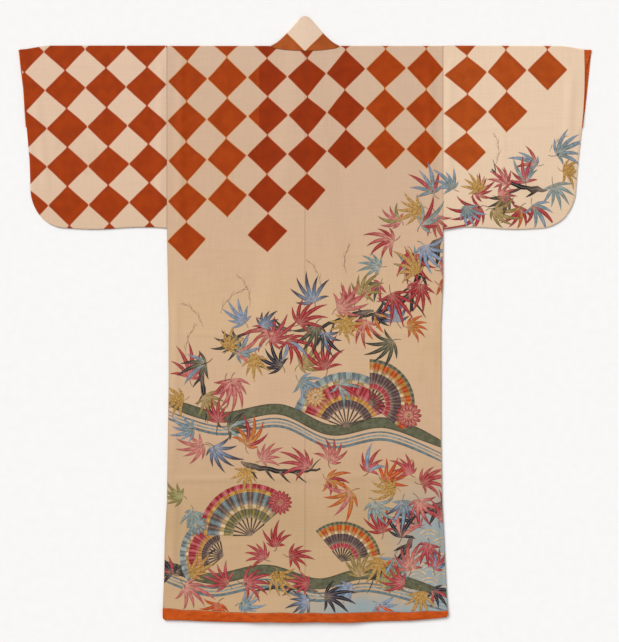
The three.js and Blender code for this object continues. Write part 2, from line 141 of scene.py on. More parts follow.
SIDE_EDGES = {  # each side seam as (height, distance from the middle)
    "left": [(-675, 329.5), (-605, 327), (-510, 325), (-420, 320), (-280, 318), (-140, 316),
             (-10, 316), (90, 318), (212, 320)],
    "right": [(-675, 331), (-605, 327), (-510, 322.5), (-420, 318), (-280, 315.5), (-140, 315),
              (-10, 315), (90, 320), (212, 320)],
}
HEM_TOP = [(-335, -669), (-240, -675), (-120, -679), (0, -680), (120, -679.5), (240, -677.5),
           (335, -674)]
HEM_LOW = [(-335, -696), (-240, -699.5), (-120, -702), (0, -702), (120, -702), (240, -698),
           (335, -690)]
CUFF_EDGES = {  # each sleeve's outer edge, as (height, distance from the middle)
    "left": [(304, 636), (370, 638), (446, 645), (486, 648), (532, 650.5), (580, 656),
             (625.5, 660.5)],
    "right": [(304, 628), (370, 633.5), (446, 641.5), (486, 645), (532, 647.5), (580, 648),
              (625.5, 647)],
}
CUFF_SHOWS = {  # how far the lining stands out of the wrist opening, by height
    "left": [(446, 1.6), (486, 2.2), (532, 2.6), (580, 3), (625.5, 3)],
    "right": [(446, 2), (486, 4), (532, 6.5), (580, 11), (625.5, 16.5)],
}
WRIST_LOW_Y = 446
CORNERS = {"left": (555, 81), "right": (541, 87)}  # where the round corner starts, and its width
print("Robe:", round(2 * REACH), "mm across the sleeves and", round(TOP_Y - HEM_LOW[3][1]), "mm long")

# %% Heights of the three levels
FOLDS = [  # soft ridges of the upper cloth: both ends, half width and rise
    (-333, 600, -335, 262, 15, 2.0), (-287, 612, -290, 236, 15, 2.6),
    (288, 604, 292, 262, 16, 2.4), (336, 590, 334, 330, 14, 1.6),
    (616, 560, 604, 300, 17, 2.2), (-624, 520, -598, 300, 16, 1.6),
    (-296, 60, -303, -330, 13, 1.6), (-300, -400, -309, -640, 14, 2.2),
    (300, -395, 309, -630, 13, 1.8), (-312, -372, 20, -368, 13, 1.3),
    (60, -362, 312, -366, 13, 1.4),
]
CREASES = [  # sharper ones, pressed in by years of storage
    (-306, -33, -120, -37, 6, 0.8), (-90, -36, 60, -31, 6, 0.6), (110, -30, 300, -34, 6, 0.9),
    (-300, -371, -40, -366, 5, 0.8), (-20, -372, 130, -367, 6, 0.6), (160, -363, 306, -367, 5, 0.9),
    (-301, 30, -304, -260, 5, 0.7), (-308, -300, -312, -560, 6, 0.8), (98, 560, 101, 250, 7, 0.5),
    (-101, 540, -99, 210, 7, 0.5), (303, 180, 297, -140, 5, 0.6), (-470, 590, -466, 300, 7, 0.6),
    (455, 560, 462, 250, 7, 0.6), (-560, 470, -380, 455, 6, 0.4), (380, 440, 590, 452, 6, 0.5),
    (-250, 168, -60, 160, 7, 0.4), (60, 150, 260, 158, 7, 0.5), (-200, -520, -30, -530, 7, 0.5),
    (40, -545, 240, -532, 7, 0.5), (30, -120, 26, -420, 8, 0.4), (-160, -80, -152, -330, 8, 0.4),
]
STEP = 50  # width over which cloth slopes down from a step below it
TAPER = 2.2  # a ridge's ends die out over this many of its half widths
FULLNESS = 1.1  # how high the upper cloth stands up between its seams


def ridge(fold, x, y):
    """Height of one soft ridge over a place."""
    x1, y1, x2, y2, half, rise = fold
    length = math.hypot(x2 - x1, y2 - y1)
    across = abs((x - x1) * (y2 - y1) - (y - y1) * (x2 - x1)) / length
    if across >= half:
        return 0
    along = ((x - x1) * (x2 - x1) + (y - y1) * (y2 - y1)) / length
    taper = TAPER * half
    ends = smooth(-taper, taper, along) * smooth(length + taper, length - taper, along)
    return rise * ends * smooth(half, 0, across)


def body_half(side, y):
    return read(SIDE_EDGES[side], y)


def hem_top(x):
    """The seam between silk and hem wavers a little, because it was pulled up by hand stitches."""
    return read(HEM_TOP, x) + 0.9 * math.sin(x / 19 + 2 * math.sin(x / 47))


def row_y(x, y):
    """Rows near the hem follow its own sagging line more and more."""
    return y + (hem_top(x) - HEM_Y) * smooth(-520, HEM_Y, y)


def neck_y(x):
    return SHOULDER_Y - lerp(12.5, 4.5, (x / NECK_X) ** 2)


def free_x(y):
    """The collar's free edge on the left front. Mirrored, this and the next are the right one's."""
    return -TIP_HALF + (TOP_Y - max(y, COLLAR_END_Y)) * LEAN


def collar_seam_x(y):
    return free_x(y) - lerp(COLLAR_WIDTH, NECK_X, smooth(540, SHOULDER_Y, y))


def front_room(x, y):
    """Room that the left front takes up under what lies on it. Mirrored, it is the right one's."""
    lies = 1 - smooth(3, 3 + STEP, x - free_x(y))
    low = COLLAR_END_Y - 9
    on_collar = smooth(-3 - STEP, -3, x - collar_seam_x(y)) * smooth(low - STEP, low, y)
    over_hem = smooth(HEM_Y + 45, HEM_Y, y)
    thick = CLOTH + (COLLAR_CLOTH - CLOTH) * on_collar + (HEM_ROLL - CLOTH) * over_hem
    return lies * (thick + LAY_GAP)


def puff(x, y):
    """Fullness and folds of the upper cloth, which die out at the shoulder, ends and hem."""
    in_sleeve = abs(x) > ARMHOLE_X
    across = (abs(x) - ARMHOLE_X) / (REACH - ARMHOLE_X) if in_sleeve else abs(x) / ARMHOLE_X
    full = FULLNESS * math.sin(math.pi * min(max(across, 0), 1))
    low = SLEEVE_LOW_Y if in_sleeve else HEM_Y + 20
    ends = smooth(SHOULDER_Y - 3, SHOULDER_Y - STEP, y) * smooth(low + 2, low + 60, y)
    return ends * (full + sum(ridge(fold, x, y) for fold in FOLDS))


def slack(x, y):
    """The slight unevenness of silk that has been folded away and spread out again."""
    wide = math.sin(x / 41 + 1.7 * math.sin(y / 97)) * math.sin(y / 63 + 1.3 * math.sin(x / 88))
    fine = math.sin(x / 15 + y / 37 + 2 * math.sin(y / 29)) * math.sin(y / 21 - x / 55)
    return 0.16 * wide + 0.06 * fine


def uneven(x, y):
    """What fullness, folds, creases and slack add to the height of the upper cloth."""
    return puff(x, y) + sum(ridge(crease, x, y) for crease in CREASES) + slack(x, y)


def under_back(x, y):
    return front_room(x, y) + front_room(-x, y)


def back_z(x, y):
    """Middle of the upper cloth of the body."""
    return under_back(x, y) + CLOTH / 2 + uneven(x, y)


def front_z(side, x, y):
    """Middle of a front's cloth. The right one lies over the left one."""
    return (front_room(x, y) if side == "right" else 0) + CLOTH / 2 + 0.5 * abs(slack(x + 300, y))


print("Back at the middle:", round(back_z(0, 100), 2), "mm; over the side:", round(back_z(250, 100), 2))

# %% [markdown]
# ## Camera
#
# The photograph looks straight down, so the camera does too, from 4.2 m up: far enough that the
# folds don't lean outwards.

# %% Camera
VIEW_MIDDLE = (10.4 * MM, -3.5 * MM)
VIEW_HIGH = 1489 * MM  # what the taller side of the picture takes in
CAMERA_UP = 4.2
SENSOR = 36  # millimetres, as on a full-frame camera
camera = put_in_scene("camera", bpy.data.cameras.new("camera"))
camera.data.sensor_width = SENSOR
camera.data.lens = SENSOR * CAMERA_UP / VIEW_HIGH
camera.data.clip_end = 100
camera.location = (*VIEW_MIDDLE, CAMERA_UP)
bpy.context.scene.camera = camera
print("Lens:", round(camera.data.lens, 1), "mm")

# %% [markdown]
# ## Materials from nodes
#
# A material is a small network: coordinates go in, noise and sums shape them, and colour, gloss
# and relief come out at the surface shader. Three short functions are enough to write one down:
# one turns a hex colour to the linear values that Blender mixes, one fills a node's inputs, and
# one adds a node.

# %% Colours and nodes
MODES = {"Math": "operation", "MapRange": "interpolation_type", "Mix": "blend_type"}
MIX_INPUTS, MIX_OUTPUT = (0, 6, 7), 2  # a Mix node's share and two colours, and its mixed colour


def colour(code):
    """A colour as Blender wants it, from its sRGB hex value."""
    shares = [int(code[i:i + 2], 16) / 255 for i in (1, 3, 5)]
    return *(v / 12.92 if v <= 0.04045 else ((v + 0.055) / 1.055) ** 2.4 for v in shares), 1


def plug(node, inputs):
    """Fills inputs by number or name: another node's output is linked, and a number or a hex
    colour is set on the socket itself."""
    for name, value in inputs.items():
        socket = node.inputs[name.replace("_", " ") if isinstance(name, str) else name]
        if isinstance(value, bpy.types.NodeSocket):
            node.id_data.links.new(value, socket)
        else:
            socket.default_value = colour(value) if isinstance(value, str) else value


def add_node(tree, kind, *values, out=0, stops=(), **named):
    """Adds a node and gives back one of its outputs, or all of them for None. A second word in
    kind is its mode, as in "Math ADD". Values fill its inputs in order. Of the named ones, those
    with a capital are inputs too, and the rest are settings. Stops are a ramp's (place, colour)."""
    kind, _, mode = kind.partition(" ")
    node = tree.nodes.new("ShaderNode" + kind)
    order = range(len(values))
    if kind == "Mix":
        node.data_type, order, out = "RGBA", MIX_INPUTS, MIX_OUTPUT
    if kind in MODES:
        setattr(node, MODES[kind], mode)
    for name in [name for name in named if name[0].islower()]:
        setattr(node, name, named.pop(name))
    plug(node, {**dict(zip(order, values)), **named})
    if stops:
        bar = node.color_ramp
        bar.interpolation = mode
        while len(bar.elements) < len(stops):
            bar.elements.new(1)
        for element, (place, shade) in zip(bar.elements, stops):
            element.position = place
            element.color = colour(shade) if isinstance(shade, str) else (shade, shade, shade, 1)
    return node.outputs if out is None else node.outputs[out]


def new_material(name):
    """An empty material: gives it, its surface shader, and add_node for its own tree."""
    material = bpy.data.materials.new(name)
    material.use_nodes = True
    tree = material.node_tree
    return material, tree.nodes["Principled BSDF"], partial(add_node, tree)


# %% [markdown]
# ## Floor and light
#
# The photograph has an even, shadowless light on a white ground. A very large soft lamp high
# above, a little towards the collar, gives that light and still lets the folds show. The floor is
# matt paper with a barely visible grain, so that the robe's edge gets a soft shadow to lie on.

# %% Floor and light
FLOOR_HALF = 9
FLOOR_DROP = 0.6 * MM  # keeps the floor clear of the lowest cloth

# Matt paper: it scatters all light, so no streak or reflection competes with the silk
paper, shader, add = new_material("matt white backdrop paper")
grain = add("TexNoise", Scale=900.0, Detail=3.0)
tone = add("ValToRGB LINEAR", grain, stops=[(0, "#f1f0ee"), (1, "#f7f6f5")])
plug(shader, {"Base Color": tone, "Roughness": 0.95})

floor_mesh = bpy.data.meshes.new("floor")
bm = bmesh.new()
bmesh.ops.create_grid(bm, x_segments=2, y_segments=2, size=FLOOR_HALF)
bmesh.ops.translate(bm, verts=bm.verts, vec=(0, 0, -FLOOR_DROP))
bm.to_mesh(floor_mesh)
bm.free()
floor_mesh.materials.append(paper)
put_in_scene("floor", floor_mesh)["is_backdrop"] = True

world = bpy.data.worlds.new("soft room")
world.use_nodes = True
plug(world.node_tree.nodes["Background"], {"Color": "#ffffff", "Strength": 0.5})
bpy.context.scene.world = world
bpy.context.scene.view_settings.view_transform = "Standard"

lamp = put_in_scene("wide lamp", bpy.data.lights.new("wide lamp", "SUN"))
lamp.data.energy = 2.5
lamp.data.angle = math.radians(35)
lamp.rotation_euler = Vector((1.3, -1.7, -2.0)).to_track_quat("-Z", "Y").to_euler()
print("Lamp:", lamp.data.energy, "W/m2, as wide as", round(math.degrees(lamp.data.angle)), "degrees of sky")

# %% [markdown]
# ## Cutting and laying a cloth
#
# Each cloth starts as a flat grid. A row of the grid is a line across the cloth, and a function
# carries a point of that row to its place on the robe. The same function says where the point was
# on the flat cut, and that goes into a UV map named "cut", so a dyed pattern runs on over a folded
# edge just as it does on the real silk. At the end the cloth gets its thickness.

# %% Helpers for cloth
HALF_TURN = steps(0, math.pi, math.pi / 8)  # angles round a folded edge
NO_CHECK = (0.5, 40)  # a column and a row far outside the dyed check
NO_SEAM = 99  # millimetres to a seam where there is none near
WELD = 0.02 * MM  # points closer than this become one
SHARP = math.radians(50)


def start_cloth():
    bm = bmesh.new()
    bm.loops.layers.uv.new("cut")
    bm.loops.layers.uv.new("check")
    bm.verts.layers.float.new("seam")
    return bm


def lay(bm, across, rows, check_at=None, seam_at=None):
    """Adds a grid with one line of points for each of rows. A row is a function of the share across, and
    gives the point's place on the robe and its place on the flat cut. check_at turns the place on the cut
    into columns and rows of the dyed check, and seam_at gives how far the nearest sewn or folded edge is,
    where the silk shader puts puckers and a painted shade line."""
    cut, check = bm.loops.layers.uv["cut"], bm.loops.layers.uv["check"]
    seam = bm.verts.layers.float["seam"]
    last = len(rows) - 1
    made = bmesh.ops.create_grid(bm, x_segments=across, y_segments=last, size=0.5)["verts"]
    flat, cell = {}, {}
    for point in made:
        place, on_cut = rows[round((point.co.y + 0.5) * last)](point.co.x + 0.5)
        point.co = Vector(place) * MM
        flat[point] = Vector(on_cut) * MM
        cell[point] = check_at(*on_cut) if check_at else NO_CHECK
        point[seam] = (seam_at(place[0], place[1]) if seam_at else NO_SEAM) * MM
    for face in {face for point in made for face in point.link_faces}:
        for loop in face.loops:
            loop[cut].uv = flat[loop.vert]
            loop[check].uv = cell[loop.vert]


def thickened(mesh, thickness):
    """The same cloth with its wall, made by a Solidify modifier and then kept as a plain mesh, so
    that the rim can have sharp edges and the silk smooth ones."""
    sheet = put_in_scene("sheet", mesh)
    wall = sheet.modifiers.new("wall", "SOLIDIFY")
    wall.thickness = thickness * MM
    wall.offset = 0
    graph = bpy.context.evaluated_depsgraph_get()
    made = bpy.data.meshes.new_from_object(sheet.evaluated_get(graph))
    bpy.data.objects.remove(sheet)
    bpy.data.meshes.remove(mesh)
    return made


def finish_cloth(bm, name, material, thickness, replaces=None):
    """Sews the grids together where they meet, gives the cloth its thickness, and places it."""
    bmesh.ops.remove_doubles(bm, verts=bm.verts, dist=WELD)
    bmesh.ops.recalc_face_normals(bm, faces=bm.faces)
    mesh = bpy.data.meshes.new(name)
    bm.to_mesh(mesh)
    bm.free()
    if thickness:
        mesh = thickened(mesh, thickness)
    mesh.name = name
    mesh.materials.append(material)
    mesh.shade_smooth()
    mesh.set_sharp_from_angle(angle=SHARP)
    piece = put_in_scene(name, mesh)
    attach(piece, "root")
    if replaces:
        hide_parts(replaces)
    print(f"{name}: {len(mesh.polygons)} faces, box {[round(v, 3) for v in piece.dimensions]} m")
    return piece


def round_fold(high, low, angle):
    """Part of the way round a fold: how far the cloth is inside its outermost line, and its height."""
    radius = (high - low) / 2
    return radius * (1 - math.sin(angle)), (high + low) / 2 + radius * math.cos(angle)


# %% [markdown]
# ## A check drawn by hand
#
# A check of rust squares stands on its points over the shoulders and sleeves. On the real cloth
# the dyer masked it by hand, so its columns drift up and down from one width to the next. A
# picture of it could be wrapped on, but none is needed: each point of the cloth is told which
# column and row of the check it is in, and the shader turns those two numbers into squares.

# %% Where the check falls on each width
CHECK_COLUMNS = [(-741, -1), (-647, 0), (-552, 1), (-458, 2), (-364, 3), (-274, 4), (-181, 5),
                 (-87, 6), (6, 7), (94, 8), (186, 9), (281, 10), (320.5, 10.5), (376, 11),
                 (467, 12), (563, 13), (656, 14), (749, 15)]
CHECK_ROWS = {  # height of the first whole row, and the rows' spacing, by place across
    "body": ([(-274, 551), (-181, 562), (-87, 561.4), (6, 560), (94, 580.5), (281, 581)],
             [(-274, 92.3), (-181, 93.3), (-87, 89.8), (6, 88), (94, 92.8), (281, 92.8)]),
    "sleeve_left": ([(-660, 537), (-320, 537.5)], [(-660, 89.5), (-320, 90.2)]),
    "sleeve_right": ([(376, 567), (467, 576.5), (563, 579)], [(376, 89.3), (467, 95), (563, 95)]),
}
CHECK_TURN = {"sleeve_left": (1.4, 2.4)}  # degrees that its columns and rows are askew
TURN_MIDDLE = (-460, 445)  # the middle of that sleeve


def check_on(width):
    """Turns a place on a width of cloth into a column and a row of the check."""
    firsts, spacings = CHECK_ROWS[width]
    askew = [math.radians(turn) for turn in CHECK_TURN.get(width, (0, 0))]

    def check_at(x, y):
        dx, dy = x - TURN_MIDDLE[0], y - TURN_MIDDLE[1]
        x = TURN_MIDDLE[0] + dx * math.cos(askew[0]) + dy * math.sin(askew[0])
        y = TURN_MIDDLE[1] + dy * math.cos(askew[1]) - dx * math.sin(askew[1])
        waver_x = 1.2 * math.sin(y / 41 + x / 90) + 0.5 * math.sin(y / 17 + 2)
        waver_y = 1.2 * math.sin(x / 37 - y / 80) + 0.5 * math.sin(x / 15 + 1)
        return read(CHECK_COLUMNS, x + waver_x), (y + waver_y - read(firsts, x)) / read(spacings, x)
    return check_at


# Distance to the nearest seam, the hem or the shoulder fold: the silk gets puckers there, and a painted
# shade line close to it
def seam_on_body(side):
    def seam_at(x, y):
        near = min(abs(x), body_half(side, y) - abs(x))
        if abs(x) < NECK_X and y > 560:
            near = min(near, neck_y(x) - y)
        return max(min(near, y - hem_top(x), (SHOULDER_Y - y) * 1.2), 0)
    return seam_at


# Distance to the armhole seam or the folded top edge: the silk gets puckers there, and a painted shade line
# close to it
def seam_on_sleeve(x, y):
    return max(min(abs(x) - ARMHOLE_X, (sleeve_top_y(abs(x)) - y) * 1.2), 0)


print("The check has", len(CHECK_COLUMNS) - 1, "columns, about", CHECK_COLUMNS[8][0] - CHECK_COLUMNS[7][0],
      "mm apart")

# %% [markdown]
# ## Silk dyed with the check
#
# The ground is a plain-woven silk, cream and browned with age. Two waves, one rising and one
# falling across the columns and rows, have the same sign inside each rust square, so their
# smaller size tells how deep inside a square a point lies. The dye's soft edge, its paler rim and
# the thin links at the corners all come from that one number.

# %% Silk
CHECK_LOWEST = [(-1, 7), (4, 4), (5, 3), (6, 4), (7, 3), (8, 2), (12, 1), (13, 0), (14, -1)]
THREADS = 3.4 * MM  # real threads are about 0.2 mm apart; drawn coarser, or none would show
THREAD_RUN = 14  # per metre: how slowly a thread changes along its length
CORNER_PULL = 0.035  # corners run together upwards and shrink apart sideways by this share
CHECK_SOFT = 0.022  # how far the dye creeps at a square's edge, as a share of its half
COLUMN_RANGE, ROW_RANGE = 18, 10  # what fits the columns and rows into a ramp from 0 to 1


def weave(add, coordinates):
    """Warp and weft as two sets of uneven ribs: gives how far a thread stands up, 0 to 1."""
    ribs = []
    for scale in ((1 / THREADS, THREAD_RUN, THREAD_RUN), (THREAD_RUN, 1 / THREADS, THREAD_RUN)):
        place = add("Mapping", coordinates, Scale=scale)
        ribs.append(add("TexNoise", place, Scale=1.0, Detail=2.0, Roughness=0.7))
    return add("Math MULTIPLY", add("Math ADD", *ribs), 0.5)


def finish_surface(material, shader, add, relief, strength, depth, **inputs):
    """Gives a surface its relief, so many millimetres deep, and its colour, gloss and sheen."""
    normal = add("Bump", Height=relief, Strength=strength, Distance=depth * MM)
    plug(shader, {"Normal": normal, **inputs})
    print(f"{material.name}: {len(material.node_tree.nodes)} nodes")
    return material


def aged_silk(name, ground_stops, rust, halo="#cb8642", swell=0.0, middle_rust=None, wash=None):
    """Plain-woven silk: to the eye a soft sheen along its threads, cream gone brown with age, and
    flat rust dye. Swell is how far the squares spread, as a share of their half."""
    material, shader, add = new_material(name)
    cut = add("UVMap", uv_map="cut")
    off_middle = add("SeparateXYZ", cut)
    place = add("TexCoord", out="Object")
    across, height, _ = add("SeparateXYZ", place, out=None)
    threads = weave(add, cut)
    clouds = add("TexNoise", place, Scale=4.5, Detail=5.0, Roughness=0.62)
    small_clouds = add("TexNoise", place, Scale=38.0, Detail=3.0)

    # The ground changes tone towards the hem, with cloudy stains of age
    shift = add("Math MULTIPLY_ADD", clouds, 0.16, -0.08)
    level = add("Math ADD", add("MapRange SMOOTHSTEP", height, -0.70, 0.70), shift)
    ground = add("ValToRGB EASE", level, stops=ground_stops)
    stain = add("Math MULTIPLY", add("MapRange SMOOTHSTEP", clouds, 0.56, 0.74), 0.22)
    ground = add("Mix MIX", stain, ground, "#b58f62")
    if wash:
        # A blue-grey wash in the lower right corner and along the right half of the hem
        east, north = add("Math ADD", across, shift), add("Math ADD", height, shift)
        parts = []
        for from_east, from_north in (((0.16, 0.31), (-0.36, -0.47)), ((-0.08, 0.1), (-0.62, -0.68))):
            parts.append(add("Math MULTIPLY", add("MapRange SMOOTHSTEP", east, *from_east),
                             add("MapRange SMOOTHSTEP", north, *from_north)))
        wet = add("Math MULTIPLY", add("Math MAXIMUM", *parts), 0.8)
        ground = add("Mix MIX", wet, ground, wash)

    # The check: a square where the two slanting waves have the same sign
    column, row, _ = add("SeparateXYZ", add("UVMap", uv_map="check"), out=None)
    slants = [add("Math ADD", column, row), add("Math SUBTRACT", column, row)]
    waves = [add("Math MULTIPLY_ADD", add("Math PINGPONG", slant, 1.0), -2.0, 1.0) for slant in slants]
    sizes = [add("Math ABSOLUTE", wave) for wave in waves]
    same = add("Math SIGN", add("Math MULTIPLY", *waves))
    inside = add("Math MULTIPLY", same, add("Math MINIMUM", *sizes))
    at_corner = add("MapRange SMOOTHSTEP", add("Math MAXIMUM", *sizes), 0.11, 0.0)
    upright = add("Math COSINE", add("Math MULTIPLY", column, 2 * math.pi))
    drawn = add("Math MULTIPLY", upright, CORNER_PULL)
    inside = add("Math MULTIPLY_ADD", at_corner, drawn, inside)
    inside = add("Math ADD", inside, add("Math MULTIPLY_ADD", small_clouds, 0.05, swell - 0.02))
    dyed = add("MapRange SMOOTHSTEP", inside, -CHECK_SOFT / 2, 1.5 * CHECK_SOFT)

    # How far down each column goes
    nearest = [add("Math ROUND", slant) for slant in slants]
    column_at = add("Math MULTIPLY", add("Math ADD", *nearest), 0.5)
    row_at = add("Math MULTIPLY", add("Math SUBTRACT", *nearest), 0.5)
    columns = add("Math MULTIPLY_ADD", column_at, 1 / COLUMN_RANGE, 1.6 / COLUMN_RANGE)
    reach = [((first + 1) / COLUMN_RANGE, (rows + 2) / ROW_RANGE) for first, rows in CHECK_LOWEST]
    rows_down = add("ValToRGB CONSTANT", columns, stops=reach)
    allowed = add("Math MULTIPLY_ADD", rows_down, float(ROW_RANGE), -0.6)
    from_shoulder = add("Math ABSOLUTE", add("Math SUBTRACT", row_at, 1.0))
    dyed = add("Math MULTIPLY", dyed, add("Math LESS_THAN", from_shoulder, allowed))

    # Rust dye: patchy, deeper near the edge of a square, with a paler rim where it crept
    red, edge_shade = rust, halo
    if middle_rust:
        # The three middle columns are a deeper rust, except for a paler strip at their upper left
        middle = add("Math COMPARE", column_at, 7.0, 1.2)
        paler_strip = add("Math MULTIPLY", add("Math LESS_THAN", off_middle, -0.106),
                    add("Math GREATER_THAN", height, 0.425))
        middle = add("Math SUBTRACT", middle, paler_strip, use_clamp=True)
        red = add("Mix MIX", middle, rust, middle_rust)
        edge_shade = add("Mix MIX", middle, halo, "#b95c3a")
    patchy = add("ValToRGB EASE", small_clouds, stops=[(0.3, "#ece7e3"), (0.7, "#ffffff")])
    red = add("Mix MULTIPLY", 1.0, red, patchy)
    deep = add("Math MULTIPLY", add("MapRange SMOOTHSTEP", inside, 0.26, 0.1), 0.16)
    red = add("Mix MIX", deep, red, "#7a2a0a")
    rim = add("Math MULTIPLY", add("MapRange SMOOTHSTEP", inside, 0.09, 0.02), 0.8)
    red = add("Mix MIX", rim, red, edge_shade)
    shade = add("Mix MIX", dyed, ground, red)

    # Threads, puckers along a seam, and a painted shade line along seams and folded edges
    shade = add("Mix MULTIPLY", 1.0, shade, add("Math MULTIPLY_ADD", threads, 0.26, 0.865))
    seam = add("Attribute", out="Fac", attribute_name="seam")
    seam_and_fold_shade = add("Math MULTIPLY", add("MapRange SMOOTHSTEP", seam, 2.0 * MM, 0.2 * MM), 0.25)
    shade = add("Mix MIX", seam_and_fold_shade, shade, "#6e3c1c")
    pucker = add("Math MULTIPLY", add("TexNoise", place, Scale=160.0, Detail=1.0),
                 add("MapRange SMOOTHSTEP", seam, 12 * MM, 1 * MM))
    relief = add("Math ADD", add("Math MULTIPLY", threads, 0.35), pucker)
    relief = add("Math ADD", relief, add("Math MULTIPLY", small_clouds, 0.8))
    return finish_surface(
        material, shader, add, relief, strength=0.6, depth=0.5, Base_Color=shade, IOR=1.45,
        Roughness=add("Math MULTIPLY_ADD", threads, 0.24, 0.5), Specular_IOR_Level=0.12,
        Sheen_Weight=0.03, Sheen_Roughness=0.45)


BODY_GROUND = [(0.02, "#c2a17c"), (0.07, "#be9e78"), (0.14, "#c5a380"), (0.22, "#c8a686"),
               (0.3, "#ccaa89"), (0.5, "#cfad89"), (0.8, "#cdab8e"), (1, "#ceae94")]
LEFT_GROUND = [(0.6, "#d7b799"), (1, "#dcbda3")]
RIGHT_GROUND = [(0.6, "#dcbfa0"), (1, "#e3c6a9")]
COLLAR_GROUND = [(0.9, "#e0c4ab"), (1, "#e0c4ab")]
body_silk = aged_silk("plain woven silk, body", BODY_GROUND, "#a63e06", swell=0.006,
                      middle_rust="#953002", wash="#849ca4")
sleeve_silks = {
    "left": aged_silk("plain woven silk, left sleeve", LEFT_GROUND, "#a33a04", "#bd664c", 0.034),
    "right": aged_silk("plain woven silk, right sleeve", RIGHT_GROUND, "#ae4a12", "#c46f52"),
}
collar_silk = aged_silk("plain woven silk, collar", COLLAR_GROUND, "#ab5522")

# %% [markdown]
# ## The orange lining
#
# The lining is a thinner, glossier silk dyed orange with safflower. It reflects a soft streak along its
# rolls, and it has lost colour where it is folded outwards. One stretched noise makes its orange change in
# streaks, and the same noise is its relief, so its darker parts are painted shade in the hollows.

# %% Lining silk
def safflower_silk(name):
    """Thin glossy silk: to the eye one clear orange, with painted shade in the hollows of its relief."""
    material, shader, add = new_material(name)
    threads = weave(add, add("UVMap", uv_map="cut"))
    stretched = add("Mapping", add("TexCoord", out="Object"), Scale=(60, 160, 60))
    wear_and_hollow_shade = add("TexNoise", stretched, Scale=1.0, Detail=4.0)
    shade = add("ValToRGB EASE", wear_and_hollow_shade, stops=[(0.3, "#a64004"), (0.52, "#bb4b07"), (0.75, "#c95912")])
    shade = add("Mix MULTIPLY", 1.0, shade, add("Math MULTIPLY_ADD", threads, 0.3, 0.85))
    relief = add("Math ADD", add("Math MULTIPLY", threads, 0.3), wear_and_hollow_shade)
    return finish_surface(material, shader, add, relief, strength=0.7, depth=0.6, Base_Color=shade,
                          Roughness=0.5, Sheen_Weight=0.04, Specular_IOR_Level=0.18)


lining = safflower_silk("safflower-dyed lining silk")

# %% [markdown]
# ## The two body widths
#
# Half a body is one length of cloth, from the back hem over the shoulder to the front hem, with
# the neck cut into its inner edge. It is laid as two grids that share their points: the long one
# runs over the shoulder, and a narrow one fills in the back beside the centre seam.

# %% Body widths
GRID = 5.5  # spacing of the points, fine enough for the pressed creases
FRONT_GRID = GRID * 1.6  # the fronts are hidden, so their rows lie further apart
SEWN_SHUT = 0.04  # half of the gap left in the centre back seam
GRIDS_MEET_X = NECK_X + 0.4
BACK_TOP_Y, NECK_TOP_Y = 629, 612  # the last straight rows below the shoulder fold and the neck
FOLD_Y = SHOULDER_Y - CLOTH / 2
FOLD_LONG, FOLD_TURN = 8, 2.5  # length of the cut round the fold, in all and for each radian


def back_row(side, y, start, end=None):
    """A row across the back, from one distance off the middle to another or to the side seam."""
    def row(u):
        x = SIDES[side] * lerp(start, end or body_half(side, y), u)
        at = row_y(x, y)
        return (x, at, back_z(x, y)), (x, at)
    return row


def body_rows(side):
    sign = SIDES[side]

    def turn(angle):
        def row(u):
            x = sign * lerp(GRIDS_MEET_X, body_half(side, SHOULDER_Y), u)
            inward, z = round_fold(back_z(x, SHOULDER_Y), front_z(side, x, SHOULDER_Y), angle)
            return (x, FOLD_Y - inward, z), (x, FOLD_Y + FOLD_TURN * angle)
        return row

    def front(y):
        def row(u):
            seam = max(-collar_seam_x(y), OVERLAP_X) + SEAM_GAP
            x = sign * lerp(seam, body_half(side, y), u)
            at = row_y(x, y)
            return (x, at, front_z(side, x, y)), (x, 2 * FOLD_Y + FOLD_LONG - at)
        return row

    backs = [back_row(side, y, GRIDS_MEET_X) for y in steps(HEM_Y, BACK_TOP_Y, GRID)]
    fronts = [front(y) for y in steps(BACK_TOP_Y, HEM_Y, FRONT_GRID)]
    return backs + [turn(angle) for angle in HALF_TURN] + fronts


def neck_rows(side):
    def edge(u):
        x = SIDES[side] * lerp(SEWN_SHUT, GRIDS_MEET_X, u)
        inward, _ = round_fold(back_z(x, SHOULDER_Y), front_z(side, x, SHOULDER_Y), 0)
        y = lerp(neck_y(x), FOLD_Y - inward, smooth(0.9, 1, u)) - SEAM_GAP / 2
        return (x, y, back_z(x, y)), (x, y)

    heights = steps(HEM_Y, NECK_TOP_Y, GRID)
    return [back_row(side, y, SEWN_SHUT, GRIDS_MEET_X) for y in heights] + [edge]


bodies = {}
for side in SIDES:
    bm = start_cloth()
    columns = round((ARMHOLE_X - NECK_X) / GRID)
    lay(bm, columns, body_rows(side), check_on("body"), seam_on_body(side))
    lay(bm, round(NECK_X / GRID), neck_rows(side), check_on("body"), seam_on_body(side))
    bodies[side] = finish_cloth(bm, f"body_width_{side}", body_silk, SILK, f"body_{side}")

# %% [markdown]
# ## The overlap panels
#
# A long panel is sewn to the inner edge of each front so that the fronts can lap over. Its upper
# end is cut to a point along the collar's seam.

# %% Overlap panels
TIP_Y = TOP_Y - (COLLAR_WIDTH + TIP_HALF - OVERLAP_X + 1.2) / LEAN


def overlap_row(side, y):
    inner = -FREE_EDGE_X if y < COLLAR_END_Y - 6 else -collar_seam_x(y) + SEAM_GAP

    def row(u):
        x = SIDES[side] * lerp(OVERLAP_X, inner, u)
        at = row_y(x, y)
        return (x, at, front_z(side, x, y)), (x, 2 * SHOULDER_Y + 6 - at)
    return row


for side in SIDES:
    bm = start_cloth()
    heights = steps(HEM_Y, COLLAR_END_Y - 6.3, 9) + steps(COLLAR_END_Y - 0.3, TIP_Y, 12)
    lay(bm, 20, [overlap_row(side, y) for y in heights])
    name = f"overlap_panel_{side}"
    finish_cloth(bm, name, body_silk, SILK, f"overlap_{side}")

